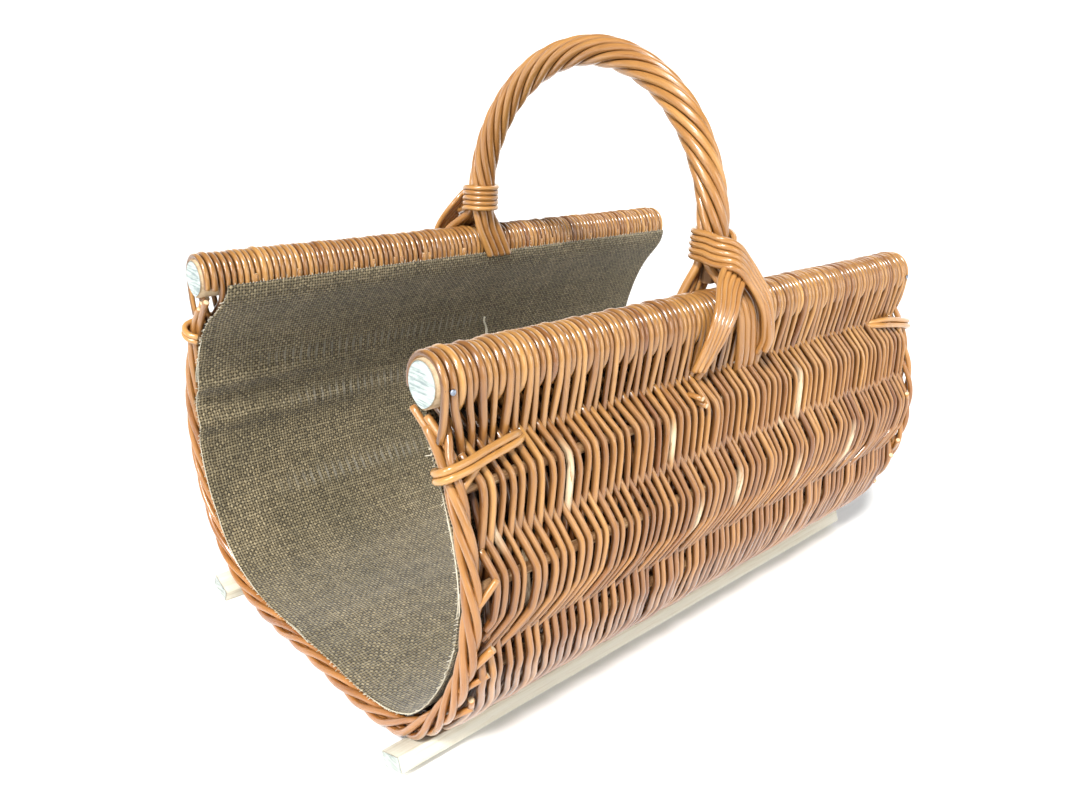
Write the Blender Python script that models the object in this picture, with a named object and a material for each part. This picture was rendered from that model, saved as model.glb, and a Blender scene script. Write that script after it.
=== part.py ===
"""Open-ended wicker log basket: a woven trough on two runners, lined with jute.

+X runs along the basket, +Y across it and +Z up. The floor is z = 0 and the
middle of the basket is x = y = 0. Lengths are in metres. The front is the -Y
side, and left is the -X end.
"""

import math

import bmesh
import bpy
import numpy as np
from mathutils import Vector

# Driving dimensions
LENGTH = 0.560            # rails, end to end
RAIL_SPREAD = 0.151       # from the middle to the centre of a rail
RAIL_HEIGHT = 0.281       # from the floor to the centre of a rail
BELLY_SPREAD = 0.1925     # from the middle to the wall's mid-line where it is widest
BELLY_HEIGHT = 0.140
HANDLE_TOP = 0.478        # from the floor to the top of the handle

# Rods and sticks
ROD = 0.0050              # weaving rod, and so the thickness of a woven layer
STICK = 0.0080            # lengthwise stick that the rods go over and under
HANDLE_ROD = 0.0063       # thicker rod twisted into the handle
GAP = 0.0003              # clearance between pieces that touch

# Rails
RAIL_HALF = 0.0139        # half of a rail's width
RAIL_UP = 0.0152          # centre to the rounded top
RAIL_DOWN = 0.0157        # centre to the narrow underside

# Wall and floor
CROSSING_OUT = 0.0145     # the first crossing row, outward of the rail's centre
CROSSING_DROP = 0.0370    # and below it
BILGE_OUT = 0.0345        # turn from wall to floor, outward of the runner's stick
BILGE_RISE = 0.0345       # and above it
FLOOR_RISE = 0.0123       # mid-line of the floor in the middle, below the runner's stick
FIRST_RUN = 0.0235        # along the wall, from the first crossing row to the first stick
STICK_SHARES = (0.344, 0.625, 1.0)
BAND_COUNT = 11           # odd, so that both ends weave alike
HOOK_ANGLE = 35.0         # degrees past the level that a rod curls under the rail
STATIONS = 3              # points of a rod's wave from stick to stick

# End borders
BORDER_ROD = 0.0050
BORDER_START = 0.0190     # how far below the rail's centre a border begins

# Lacing at the ends
LACING_LENGTH = 0.0620
LACING_HEIGHT = 0.0095
LACING_ROD = 0.0035
LACING_CLEAR = 0.0004

# Runners
RUNNER_LENGTH = 0.569
RUNNER_WIDTH = 0.0223
RUNNER_THICK = 0.0120
RUNNER_TILT = 21.3        # degrees, outer side up
RUNNER_EDGE = 0.1264      # from the middle to a runner's lowest edge
RUNNER_SHIFT = (-0.0078, -0.0035)

# Handle
HANDLE_RODS = 8
LEG_SPREAD = 0.1365       # from the middle to the centre of a handle leg
TWIST_STEPS = 22          # eighths of a turn from one leg to the other
TWIST_SLANT = 20.0        # degrees between a twisted rod and the handle's own line
HANDLE_STATIONS = 46
SPLIT_ABOVE = 0.0370      # the rods part this far above the rail's centre
OUTER_END = 0.0290        # the outer ends stop this far below the rail's centre
INNER_END = 0.0030        # the inner ends stop this far above the rail's centre
END_PITCH = 0.0084
END_LEAN = 0.0150         # how far the rod ends lean along the rail
END_CLEAR = 0.0005        # between the rod ends and the wrapping of the rail
END_COLUMNS = (0.5, 1.5, 1.5, 0.5, -0.5, -1.5, -1.5, -0.5)
END_RISE = 0.0260         # the inner ends reach the rail's side this far above its centre

# Bindings
BAND_WIDTH = 0.0225
BINDING_RISE = 0.0505     # middle of the turns round a leg, above the rail's centre
BINDING_SLACK = 0.0007

# The side that the bindings lie on, over the handle's outer rod ends:
# rise above the rail's centre, degrees that it faces upward, and how far it has drawn in
FACE_RISES = (-0.001, 0.012, 0.022, 0.034, 0.046)
FACE_TILTS = (0, 20, 40, 38, 20)
FACE_INSETS = (0.0, 0.0022, 0.0082, 0.0150, 0.0200)

# The bindings over that side (place along the rail, rise, share of the width) and round the
# leg (degrees, lift off the leg, rise, share of the width)
UNDER_ACROSS = ((-0.0500, -0.024, 1.0), (-0.0430, -0.010, 1.0), (-0.0360, 0.003, 1.0),
                (-0.0285, 0.014, 0.95), (-0.0185, 0.025, 0.8), (-0.0070, 0.0345, 0.7))
UNDER_ROUND = ((-62, 0.0, 0.0450, 0.75), (-42, 0.0, 0.0485, 0.9), (-26, 0.0, 0.0505, 1.0))
OVER_ROUND = ((206, 0.0020, 0.0520, 1.0), (222, 0.0085, 0.0525, 0.9))
OVER_ACROSS = ((-0.0110, 0.0455, 0.8), (-0.0010, 0.0350, 0.8), (0.0080, 0.0220, 0.75),
               (0.0150, 0.0080, 0.6), (0.0210, -0.0080, 0.45), (0.0260, -0.0230, 0.35))

# Nails
NAIL = 0.0016
NAIL_CLEAR = 0.0003
NAIL_HEAD = 0.0040
NAIL_HEAD_THICK = 0.0010
NAIL_SINK = 0.0002        # a runner's nail heads lie this far below its face
RAIL_NAIL_LENGTH = 0.0180
NAIL_INSET = 0.0070       # from a rail's end
RUNNER_NAIL_INSET = 0.0180

# Lining
LINING = 0.0016
LINING_INSET = 0.0030     # from a rail's end
LINING_TOP = 0.0020       # the lining stops this far below the rail's centre
LINING_STATIONS = 26

HALF_LENGTH = LENGTH / 2

# A rod's centre on a stick, off the mid-line: its slope up to the first stick clears that too.
LEVEL_REACH = STICK / 2 + GAP + ROD / 2
WAVE = LEVEL_REACH * math.hypot(1.0, LEVEL_REACH / FIRST_RUN)


# Small helpers

def clear_scene():
    for item in list(bpy.data.objects):
        bpy.data.objects.remove(item, do_unlink=True)


def make_material(name, colour, roughness, metallic=0.0):
    material = bpy.data.materials.new(name)
    material.use_nodes = True
    shader = material.node_tree.nodes["Principled BSDF"]
    shader.inputs["Base Color"].default_value = (*colour, 1.0)
    shader.inputs["Roughness"].default_value = roughness
    shader.inputs["Metallic"].default_value = metallic
    return material


def mesh_object(name, build, material, smooth_angle=None):
    """Make an object from a function that fills an empty bmesh."""
    shape = bmesh.new()
    build(shape)
    bmesh.ops.recalc_face_normals(shape, faces=shape.faces)
    mesh = bpy.data.meshes.new(name)
    shape.to_mesh(mesh)
    shape.free()
    if smooth_angle is not None:
        mesh.shade_smooth()
        mesh.set_sharp_from_angle(angle=math.radians(smooth_angle))
    mesh.materials.append(material)
    thing = bpy.data.objects.new(name, mesh)
    bpy.context.scene.collection.objects.link(thing)
    return thing


def prism(name, outline, start, end, material, smooth_angle=None):
    """Extrude a closed (y, z) outline along X."""
    def build(shape):
        corners = [shape.verts.new((start, y, z)) for y, z in outline]
        face = shape.faces.new(corners)
        grown = bmesh.ops.extrude_face_region(shape, geom=[face])
        moved = [item for item in grown["geom"] if isinstance(item, bmesh.types.BMVert)]
        bmesh.ops.translate(shape, verts=moved, vec=(end - start, 0, 0))
    return mesh_object(name, build, material, smooth_angle)


def rod_along(name, points, diameter, material, resolution=1):
    """A round rod through a list of points, as a bevelled curve with filled ends."""
    curve = bpy.data.curves.new(name, "CURVE")
    curve.dimensions = "3D"
    curve.bevel_depth = diameter / 2
    curve.bevel_resolution = resolution
    curve.use_fill_caps = True
    line = curve.splines.new("POLY")
    line.points.add(len(points) - 1)
    for slot, point in zip(line.points, points):
        slot.co = (*point, 1.0)
    line.use_smooth = True
    curve.materials.append(material)
    thing = bpy.data.objects.new(name, curve)
    bpy.context.scene.collection.objects.link(thing)
    return thing


def spline(points, count):
    """A natural cubic curve through the points, read at evenly spaced places."""
    points = np.array(points, dtype=float)
    steps = np.linalg.norm(np.diff(points, axis=0), axis=1)
    knots = np.concatenate([[0.0], np.cumsum(steps)])
    size = len(points)
    matrix = np.eye(size)
    right = np.zeros_like(points)
    for i in range(1, size - 1):
        matrix[i, i - 1:i + 2] = steps[i - 1], 2 * (steps[i - 1] + steps[i]), steps[i]
        right[i] = 6 * ((points[i + 1] - points[i]) / steps[i] - (points[i] - points[i - 1]) / steps[i - 1])
    bend = np.linalg.solve(matrix, right)
    fine = np.linspace(0.0, knots[-1], 40 * size)
    span = np.clip(np.searchsorted(knots, fine, side="right") - 1, 0, size - 2)
    step = steps[span][:, None]
    after = (fine - knots[span])[:, None]
    before = step - after
    curve = (bend[span] * before ** 3 + bend[span + 1] * after ** 3) / (6 * step)
    curve += (points[span] / step - bend[span] * step / 6) * before
    curve += (points[span + 1] / step - bend[span + 1] * step / 6) * after
    arc = np.concatenate([[0.0], np.cumsum(np.linalg.norm(np.diff(curve, axis=0), axis=1))])
    even = np.linspace(0.0, arc[-1], count)
    return np.stack([np.interp(even, arc, curve[:, axis]) for axis in range(points.shape[1])], axis=1)


def half_turn(points):
    """The same points on the other side of the basket, half a turn round Z."""
    return [(-x, -y, z) for x, y, z in points]


# The wall's mid-line, on which the sticks lie

def runner_frame():
    """The back runner's across and up directions, and the middle of its top face."""
    tilt = math.radians(RUNNER_TILT)
    across = np.array([math.cos(tilt), math.sin(tilt)])
    up = np.array([-math.sin(tilt), math.cos(tilt)])
    top = np.array([RUNNER_EDGE, 0.0]) + across * RUNNER_WIDTH / 2 + up * RUNNER_THICK
    return across, up, top


def runner_stick():
    """Centre of the stick that the back runner is nailed to, one rod above it."""
    _, up, top = runner_frame()
    return top + up * (GAP + ROD / 2 + WAVE)


def wall_line():
    """The U-shaped mid-line of the weave, from the front crossing row to the back one."""
    stick = runner_stick()
    half = [
        (RAIL_SPREAD + CROSSING_OUT, RAIL_HEIGHT - CROSSING_DROP),
        (BELLY_SPREAD, BELLY_HEIGHT),
        (stick[0] + BILGE_OUT, stick[1] + BILGE_RISE),
        (stick[0], stick[1]),
        (0.0, stick[1] - FLOOR_RISE),
    ]
    front = [(-y, z) for y, z in half]
    return spline(front + half[-2::-1], 900)


LINE = wall_line()
ARC = np.concatenate([[0.0], np.cumsum(np.linalg.norm(np.diff(LINE, axis=0), axis=1))])
SLOPE = np.gradient(LINE, ARC, axis=0)


def line_at(distance):
    """Point of the mid-line and its outward direction."""
    point = np.array([np.interp(distance, ARC, LINE[:, axis]) for axis in (0, 1)])
    along = np.array([np.interp(distance, ARC, SLOPE[:, axis]) for axis in (0, 1)])
    along /= np.linalg.norm(along)
    return point, np.array([along[1], -along[0]])


def stick_places():
    """Distances along the mid-line of all the sticks, from front to back."""
    nearest = np.argmin(np.linalg.norm(LINE[:450] - runner_stick() * (-1, 1), axis=1))
    above_runner = ARC[nearest]
    wall = [FIRST_RUN] + [share * above_runner for share in STICK_SHARES]
    middle = ARC[-1] / 2
    half = wall + [(above_runner + middle) / 2]
    return half + [middle] + [ARC[-1] - place for place in reversed(half)]


STICK_PLACES = stick_places()


# Wooden rails, runners and sticks

def egg(grow, angle):
    """Point of the rail's outline, grown outward, seen from its centre; 0 degrees is outward."""
    turn = math.radians(angle)
    height = RAIL_UP if math.sin(turn) >= 0 else RAIL_DOWN
    return (RAIL_HALF + grow) * math.cos(turn), (height + grow) * math.sin(turn)


def rail_outline(side):
    """Rounded on top and narrowing to the underside."""
    outline = []
    for angle in range(0, 181, 15):
        outline.append(egg(0.0, angle))
    for angle in range(200, 341, 20):
        y, z = egg(0.0, angle)
        outline.append((y * abs(math.cos(math.radians(angle))) ** 0.35, z))
    return [(side * (RAIL_SPREAD + y), RAIL_HEIGHT + z) for y, z in outline]


def build_rail(name, side, material):
    rail = prism(name, rail_outline(side), -HALF_LENGTH, HALF_LENGTH, material, 40)
    for end in (-1, 1):
        cut_round_hole(rail, rail_nail_path(side, end), NAIL + 2 * NAIL_CLEAR)
    return rail


def build_runner(name, side, shift, material):
    across, up, _ = runner_frame()
    low_edge = np.array([RUNNER_EDGE, 0.0])
    corners = [low_edge, low_edge + across * RUNNER_WIDTH]
    corners += [corners[1] + up * RUNNER_THICK, corners[0] + up * RUNNER_THICK]
    outline = [(side * y, z) for y, z in corners]
    half = RUNNER_LENGTH / 2
    runner = prism(name, outline, shift - half, shift + half, material)
    for end in (-1, 1):
        head, point = runner_nail_path(side, end)
        cut_round_hole(runner, (head, point), NAIL + 2 * NAIL_CLEAR)
        cut_round_hole(runner, (head, head), NAIL_HEAD + 2 * NAIL_CLEAR, (point - head).normalized())
    return runner


def build_stick(name, distance, material, nails=()):
    centre, _ = line_at(distance)
    outline = []
    for corner in range(10):
        turn = 2 * math.pi * corner / 10
        outline.append((centre[0] + STICK / 2 * math.cos(turn), centre[1] + STICK / 2 * math.sin(turn)))
    stick = prism(name, outline, -HALF_LENGTH, HALF_LENGTH, material, 50)
    for path in nails:
        cut_round_hole(stick, path, NAIL + 2 * NAIL_CLEAR)
    return stick


# Woven bands and end borders

def wrap_round_rail(starts_outside):
    """Rod over the back rail, from below it: up one side, over the top and under the other."""
    reach = GAP + ROD / 2
    angles = list(range(0, 181, 20)) + [180 + HOOK_ANGLE / 2, 180 + HOOK_ANGLE]
    points = []
    for angle in angles:
        y, z = egg(reach, angle)
        if not starts_outside:
            y = -y
        points.append((RAIL_SPREAD + y, RAIL_HEIGHT + z))
    return points


def rise_to_rail(starts_outside):
    """Rod between the first crossing row and the rail's level, at the back."""
    side = RAIL_HALF + GAP + ROD / 2
    if starts_outside:
        return [(RAIL_SPREAD + side, RAIL_HEIGHT - RAIL_DOWN)]
    return [
        (RAIL_SPREAD - 0.0010, RAIL_HEIGHT - RAIL_DOWN - 0.0105),
        (RAIL_SPREAD - 0.0110, RAIL_HEIGHT - RAIL_DOWN - 0.0035),
        (RAIL_SPREAD - side, RAIL_HEIGHT - RAIL_DOWN + 0.0070),
    ]


def wave_points(first_sign):
    """Rod from the front crossing row to the back one, over and under the sticks."""
    points = [tuple(line_at(0.0)[0])]
    knots = [-STICK_PLACES[0]] + STICK_PLACES + [ARC[-1] + STICK_PLACES[0]]
    for index in range(1, len(knots) - 1):
        sign = first_sign * (-1) ** index
        here = knots[index]
        last = index == len(knots) - 2
        steps = 1 if last else STATIONS
        for step in range(steps):
            share = step / STATIONS
            centre, outward = line_at(here + (knots[index + 1] - here) * share)
            points.append(tuple(centre + outward * sign * WAVE * math.cos(math.pi * share)))
    points.append(tuple(line_at(ARC[-1])[0]))
    return points


def band_path(outside_at_rails):
    back = rise_to_rail(outside_at_rails) + wrap_round_rail(outside_at_rails)
    front = [(-y, z) for y, z in reversed(back)]
    return front + wave_points(1 if outside_at_rails else -1) + back


def border_path(outside_at_rails):
    side = (RAIL_HALF + GAP + BORDER_ROD / 2) * (1 if outside_at_rails else -0.55)
    back = [(RAIL_SPREAD + side, RAIL_HEIGHT - BORDER_START)]
    front = [(-y, z) for y, z in back]
    return front + wave_points(1 if outside_at_rails else -1) + back


def ribbon_outline(path, thickness):
    """Closed outline of a strip that runs along a (y, z) path."""
    path = np.array(path)
    forward = np.diff(path, axis=0)
    forward /= np.linalg.norm(forward, axis=1)[:, None]
    left, right = [], []
    for index, point in enumerate(path):
        before = forward[max(index - 1, 0)]
        after = forward[min(index, len(forward) - 1)]
        middle = before + after
        middle /= np.linalg.norm(middle)
        side = np.array([-middle[1], middle[0]])
        reach = thickness / 2 / max(float(np.dot(middle, after)), 0.6)
        left.append(tuple(point + side * reach))
        right.append(tuple(point - side * reach))
    return left + right[::-1]


def build_bands(material):
    width = 2 * HALF_LENGTH / BAND_COUNT
    for number in range(BAND_COUNT):
        start = -HALF_LENGTH + number * width
        outside = number % 2 == 0
        outline = ribbon_outline(band_path(outside), ROD)
        name = f"weave_band_{number + 1:02d}"
        band = prism(name, outline, start + GAP / 2, start + width - GAP / 2, material, 40)
        if number in (0, BAND_COUNT - 1):
            end = -1 if number == 0 else 1
            for side in (-1, 1):
                for path in (rail_nail_path(side, end), runner_nail_path(side, end)):
                    cut_round_hole(band, path, NAIL + 2 * NAIL_CLEAR)


def build_borders(material):
    for end, end_name in ((-1, "left"), (1, "right")):
        for number, layer in enumerate(("inner", "outer")):
            near = HALF_LENGTH + GAP + number * (BORDER_ROD + GAP)
            outline = ribbon_outline(border_path(layer == "outer"), BORDER_ROD)
            start, stop = sorted((end * near, end * (near + BORDER_ROD)))
            prism(f"end_border_{end_name}_{layer}", outline, start, stop, material, 40)


def lacing_reach():
    """How far out and in the rods stand beside the lacing, from the end of the mid-line."""
    centre, outward = line_at(0.0)
    along = np.array([-outward[1], outward[0]])
    outs = []
    for path in (band_path(True), border_path(True), border_path(False)):
        half = np.array(path[:len(path) // 2])
        for start, finish in zip(half, half[1:]):
            for share in np.linspace(0.0, 1.0, 9):
                offset = start + (finish - start) * share - centre
                if abs(np.dot(offset, along)) < (LACING_HEIGHT + ROD) / 2:
                    outs.append(np.dot(offset, outward))
    return max(outs) + ROD / 2, min(outs) - ROD / 2


def build_lacing(name, side, end, material):
    """A pair of rods bent round the end of a wall at its first crossing row."""
    centre, outward = line_at(0.0)
    half = LACING_ROD / 2
    rods_out, rods_in = lacing_reach()
    outer = rods_out + LACING_CLEAR + half
    inner = rods_in - LACING_CLEAR - half
    tip = HALF_LENGTH + 2 * (GAP + BORDER_ROD) + GAP
    inner_start = HALF_LENGTH + GAP
    corners = [
        (HALF_LENGTH - LACING_LENGTH, outer - half), (tip, outer - half),
        (tip, inner + half), (inner_start, inner + half),
        (inner_start, inner - half), (tip + LACING_ROD, inner - half),
        (tip + LACING_ROD, outer + half), (HALF_LENGTH - LACING_LENGTH, outer + half),
    ]
    along = np.array([-outward[1], outward[0]])

    def build(shape):
        loops = []
        for level in (-LACING_HEIGHT / 2, LACING_HEIGHT / 2):
            loop = []
            for x, out in corners:
                y, z = centre + outward * out + along * level
                loop.append(shape.verts.new((end * x, -side * y, z)))
            loops.append(loop)
        shape.faces.new(loops[0])
        shape.faces.new(loops[1])
        for index in range(len(corners)):
            after = (index + 1) % len(corners)
            shape.faces.new((loops[0][index], loops[0][after], loops[1][after], loops[1][index]))
    return mesh_object(name, build, material)


# Nails and their holes

def rail_nail_path(side, end):
    """Centre line of a nail in a rail, from under its head to its point."""
    surface = RAIL_HALF + GAP + ROD + GAP
    x = end * (HALF_LENGTH - NAIL_INSET)
    head = Vector((x, side * (RAIL_SPREAD + surface), RAIL_HEIGHT))
    return head, head + Vector((0, -side * RAIL_NAIL_LENGTH, 0))


def runner_nail_path(side, end):
    """Centre line of a nail that goes up through a runner into the stick above it."""
    _, up, top = runner_frame()
    low = top - up * (RUNNER_THICK - NAIL_SINK - NAIL_HEAD_THICK)
    high = top + up * (GAP + ROD / 2 + WAVE)
    x = end * (HALF_LENGTH - RUNNER_NAIL_INSET)
    return Vector((x, side * low[0], low[1])), Vector((x, side * high[0], high[1]))


def cylinder(shape, start, finish, diameter, sides):
    axis = finish - start
    turn = Vector((0, 0, 1)).rotation_difference(axis).to_matrix().to_4x4()
    turn.translation = (start + finish) / 2
    bmesh.ops.create_cone(shape, cap_ends=True, segments=sides, radius1=diameter / 2,
                          radius2=diameter / 2, depth=axis.length, matrix=turn)


def cut_round_hole(target, path, diameter, reach=None):
    """Cut the hole that a nail or its head sits in, a little longer than what it holds."""
    start, finish = path
    reach = reach or (finish - start).normalized()
    cutter = mesh_object(f"{target.name}_hole", lambda shape: cylinder(
        shape, start - reach * NAIL_HEAD, finish + reach * NAIL_CLEAR, diameter, 8), target.data.materials[0])
    cutter.hide_render = True
    cutter.display_type = "WIRE"
    hole = target.modifiers.new("nail_hole", "BOOLEAN")
    hole.operation = "DIFFERENCE"
    hole.object = cutter
    hole.solver = "EXACT"


def build_nail(name, path, material):
    start, finish = path
    back = (start - finish).normalized()

    def build(shape):
        sides = 8
        outline = ((NAIL_HEAD / 2, NAIL_HEAD_THICK), (NAIL_HEAD / 2, 0.0),
                   (NAIL / 2, 0.0), (NAIL / 2, -(finish - start).length))
        across = back.orthogonal().normalized()
        other = back.cross(across)
        rings = []
        for radius, rise in outline:
            ring = []
            for corner in range(sides):
                turn = 2 * math.pi * corner / sides
                offset = across * math.cos(turn) + other * math.sin(turn)
                ring.append(shape.verts.new(start + back * rise + offset * radius))
            rings.append(ring)
        for upper, lower in zip(rings, rings[1:]):
            for corner in range(sides):
                after = (corner + 1) % sides
                shape.faces.new((upper[corner], upper[after], lower[after], lower[corner]))
        shape.faces.new(rings[0])
        shape.faces.new(rings[-1])
    return mesh_object(name, build, material)


# Handle

def arch_point(share):
    """Centre line of the handle's arch and its outward direction, front leg to back leg."""
    spring = HANDLE_TOP - HANDLE_ROD / 2 - bundle_radius() - LEG_SPREAD
    split = RAIL_HEIGHT + SPLIT_ABOVE
    leg = spring - split
    total = 2 * leg + math.pi * LEG_SPREAD
    distance = share * total
    if distance < leg:
        return Vector((0, -LEG_SPREAD, split + distance)), Vector((0, -1, 0))
    if distance > total - leg:
        return Vector((0, LEG_SPREAD, split + total - distance)), Vector((0, 1, 0))
    turn = (distance - leg) / LEG_SPREAD
    outward = Vector((0, -math.cos(turn), math.sin(turn)))
    return Vector((0, 0, spring)) + outward * LEG_SPREAD, outward


def bundle_radius():
    """Radius of the ring that the handle's rod centres lie on, wider because they slant."""
    pitch = (HANDLE_ROD + GAP) / math.cos(math.radians(TWIST_SLANT))
    return pitch / (2 * math.sin(math.pi / HANDLE_RODS))


def rod_angle(number, share):
    eighth = 2 * math.pi / HANDLE_RODS
    return eighth * (number + 0.5) - eighth * TWIST_STEPS * share


def leg_end(angle):
    """End of one handle rod, from where it leaves the front leg down past the rail."""
    outer = math.cos(angle) > 0
    eighth = 360 / HANDLE_RODS
    column = END_COLUMNS[round((math.degrees(angle) % 360) / eighth - 0.5)]
    reach = GAP + ROD + GAP + HANDLE_ROD / 2 + END_CLEAR
    if outer:
        stops = [egg(reach, turn) for turn in (68, 45, 22, 0)] + [(egg(reach, 0)[0], -OUTER_END)]
        lean, fall = END_LEAN, SPLIT_ABOVE + OUTER_END
    else:
        stops = [(-egg(reach, 0)[0], END_RISE), (-egg(reach, 0)[0], INNER_END)]
        lean, fall = -END_LEAN, SPLIT_ABOVE
    points = [(bundle_radius() * math.sin(angle), -LEG_SPREAD - bundle_radius() * math.cos(angle),
               RAIL_HEIGHT + SPLIT_ABOVE)]
    for out, rise in stops:
        x = column * END_PITCH + lean * ((SPLIT_ABOVE - rise) / fall) ** 1.5
        points.append((x, -RAIL_SPREAD - out, RAIL_HEIGHT + rise))
    return points[::-1]


def handle_rod_path(number):
    front = leg_end(rod_angle(number, 0.0))
    middle = []
    for station in range(1, HANDLE_STATIONS):
        share = station / HANDLE_STATIONS
        centre, outward = arch_point(share)
        angle = rod_angle(number, share)
        offset = outward * math.cos(angle) + Vector((1, 0, 0)) * math.sin(angle)
        middle.append(tuple(centre + offset * bundle_radius()))
    # Seen from the back, the same angle lies on the other side of the leg.
    back = half_turn(leg_end(-rod_angle(number, 1.0)))
    return front + middle + back[::-1]


def build_handle(willow, wood):
    centres = [tuple(arch_point(station / 40)[0]) for station in range(41)]
    foot = RAIL_HEIGHT + RAIL_UP + ROD + 3 * GAP
    centres = [(0, -LEG_SPREAD, foot)] + centres + [(0, LEG_SPREAD, foot)]
    core = 2 * (bundle_radius() - HANDLE_ROD / 2 - 2 * GAP)
    rod_along("handle_core", centres, core, wood)
    for number in range(HANDLE_RODS):
        rod_along(f"handle_rod_{number + 1}", handle_rod_path(number), HANDLE_ROD, willow)


# Bindings that lash the handle to the rails

def strap(name, stations, thickness, material):
    """A flat strap through stations of (point, outward direction, width)."""
    points = [Vector(point) for point, _, _ in stations]

    def build(shape):
        rings = []
        for index, (_, outward, width) in enumerate(stations):
            ahead = points[min(index + 1, len(points) - 1)]
            behind = points[max(index - 1, 0)]
            along = (ahead - behind).normalized()
            outward = Vector(outward)
            outward = (outward - along * outward.dot(along)).normalized()
            across = along.cross(outward)
            ring = []
            for across_sign, out_sign in ((-1, -1), (1, -1), (1, 1), (-1, 1)):
                offset = across * across_sign * width / 2 + outward * out_sign * thickness / 2
                ring.append(shape.verts.new(points[index] + offset))
            rings.append(ring)
        for ring, after in zip(rings, rings[1:]):
            for corner in range(4):
                other = (corner + 1) % 4
                shape.faces.new((ring[corner], ring[other], after[other], after[corner]))
        shape.faces.new(rings[0])
        shape.faces.new(rings[-1])
    return mesh_object(name, build, material, 50)


def leg_turn(angle, extra, rise):
    """Place on a turn round the front leg; 0 degrees is +X and 90 is the inner side."""
    radius = bundle_radius() + HANDLE_ROD / 2 + BINDING_SLACK + ROD / 2 + extra
    turn = math.radians(angle)
    outward = Vector((math.cos(turn), math.sin(turn), 0))
    return Vector((0, -LEG_SPREAD, RAIL_HEIGHT + rise)) + outward * radius, outward


def outer_face(x, rise, layer):
    """Place on the outer side of the front leg and rail; layer counts thicknesses off the rods."""
    rods = RAIL_HALF + GAP + ROD + GAP + END_CLEAR + HANDLE_ROD + BINDING_SLACK
    turn = math.radians(np.interp(rise, FACE_RISES, FACE_TILTS))
    out = rods - np.interp(rise, FACE_RISES, FACE_INSETS)
    outward = Vector((0, -math.cos(turn), math.sin(turn)))
    base = Vector((x, -(RAIL_SPREAD + out), RAIL_HEIGHT + rise))
    return base + outward * (ROD / 2 + layer * (ROD + 3 * BINDING_SLACK)), outward


def under_strap():
    """From the wall at lower left, up across the outer side, to the right side of the leg."""
    stations = [(*outer_face(x, rise, 0), BAND_WIDTH * share) for x, rise, share in UNDER_ACROSS]
    for angle, lift, rise, share in UNDER_ROUND:
        stations.append((*leg_turn(angle, lift, rise), BAND_WIDTH * share))
    return stations


def over_strap():
    """Round the inner side of the leg, its left side, and down across to the lower right."""
    stations = [(*leg_turn(angle, 0.0, BINDING_RISE), BAND_WIDTH) for angle in range(0, 197, 14)]
    for angle, lift, rise, share in OVER_ROUND:
        stations.append((*leg_turn(angle, lift, rise), BAND_WIDTH * share))
    stations += [(*outer_face(x, rise, 1), BAND_WIDTH * share) for x, rise, share in OVER_ACROSS]
    return stations


def build_bindings(material):
    for name, stations in (("under", under_strap()), ("over", over_strap())):
        strap(f"binding_front_{name}", stations, ROD, material)
        turned = []
        for place, outward, width in stations:
            turned.append(((-place[0], -place[1], place[2]), (-outward[0], -outward[1], outward[2]), width))
        strap(f"binding_back_{name}", turned, ROD, material)


# Lining

def build_lining(material):
    inward = WAVE + ROD / 2 + 2 * GAP + LINING / 2
    edge = RAIL_SPREAD - RAIL_HALF - ROD - 2 * GAP - LINING / 2
    start = STICK_PLACES[0]
    wall = []
    for station in range(2 * LINING_STATIONS + 1):
        distance = start + (ARC[-1] - 2 * start) * station / (2 * LINING_STATIONS)
        centre, outward = line_at(distance)
        wall.append(tuple(centre - outward * inward))
    below = RAIL_HEIGHT - RAIL_DOWN
    back = [
        (RAIL_SPREAD - 0.0020, below - 0.0205),
        (RAIL_SPREAD - 0.0125, below - 0.0105),
        (edge, below - 0.0010),
        (edge, RAIL_HEIGHT - LINING_TOP),
    ]
    front = [(-y, z) for y, z in reversed(back)]
    half = HALF_LENGTH - LINING_INSET
    prism("jute_lining", ribbon_outline(front + wall + back, LINING), -half, half, material, 40)


def main():
    clear_scene()
    willow = make_material("willow", (0.56, 0.27, 0.09), 0.42)
    handle_willow = make_material("handle_willow", (0.66, 0.36, 0.15), 0.42)
    wood = make_material("pale_wood", (0.72, 0.62, 0.45), 0.6)
    jute = make_material("jute", (0.28, 0.24, 0.15), 0.9)
    steel = make_material("steel", (0.45, 0.46, 0.48), 0.35, 1.0)

    sides = (("front", -1), ("back", 1))
    ends = (("left", -1), ("right", 1))
    for index, (side_name, side) in enumerate(sides):
        build_rail(f"rail_{side_name}", side, wood)
        build_runner(f"runner_{side_name}", side, RUNNER_SHIFT[index], wood)
    count = len(STICK_PLACES)
    above_runner = len(STICK_SHARES)
    for index, place in enumerate(STICK_PLACES):
        nails = ()
        if index == above_runner:
            nails = [runner_nail_path(-1, end) for _, end in ends]
        elif index == count - 1 - above_runner:
            nails = [runner_nail_path(1, end) for _, end in ends]
        build_stick(f"stick_{index + 1:02d}", place, willow, nails)
    build_bands(willow)
    build_borders(willow)
    for side_name, side in sides:
        for end_name, end in ends:
            build_lacing(f"lacing_{side_name}_{end_name}", side, end, willow)
            build_nail(f"rail_nail_{side_name}_{end_name}", rail_nail_path(side, end), steel)
            build_nail(f"runner_nail_{side_name}_{end_name}", runner_nail_path(side, end), steel)
    build_handle(handle_willow, wood)
    build_bindings(handle_willow)
    build_lining(jute)


main()
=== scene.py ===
"""The woven basket's looks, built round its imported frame: every rod, lashing and thread edge.

Lengths are in metres, in the row frame: +X along the basket, +Z up, front wall at -Y.
"""

import math

import bpy
import numpy as np
from mathutils import Matrix, Vector


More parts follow.
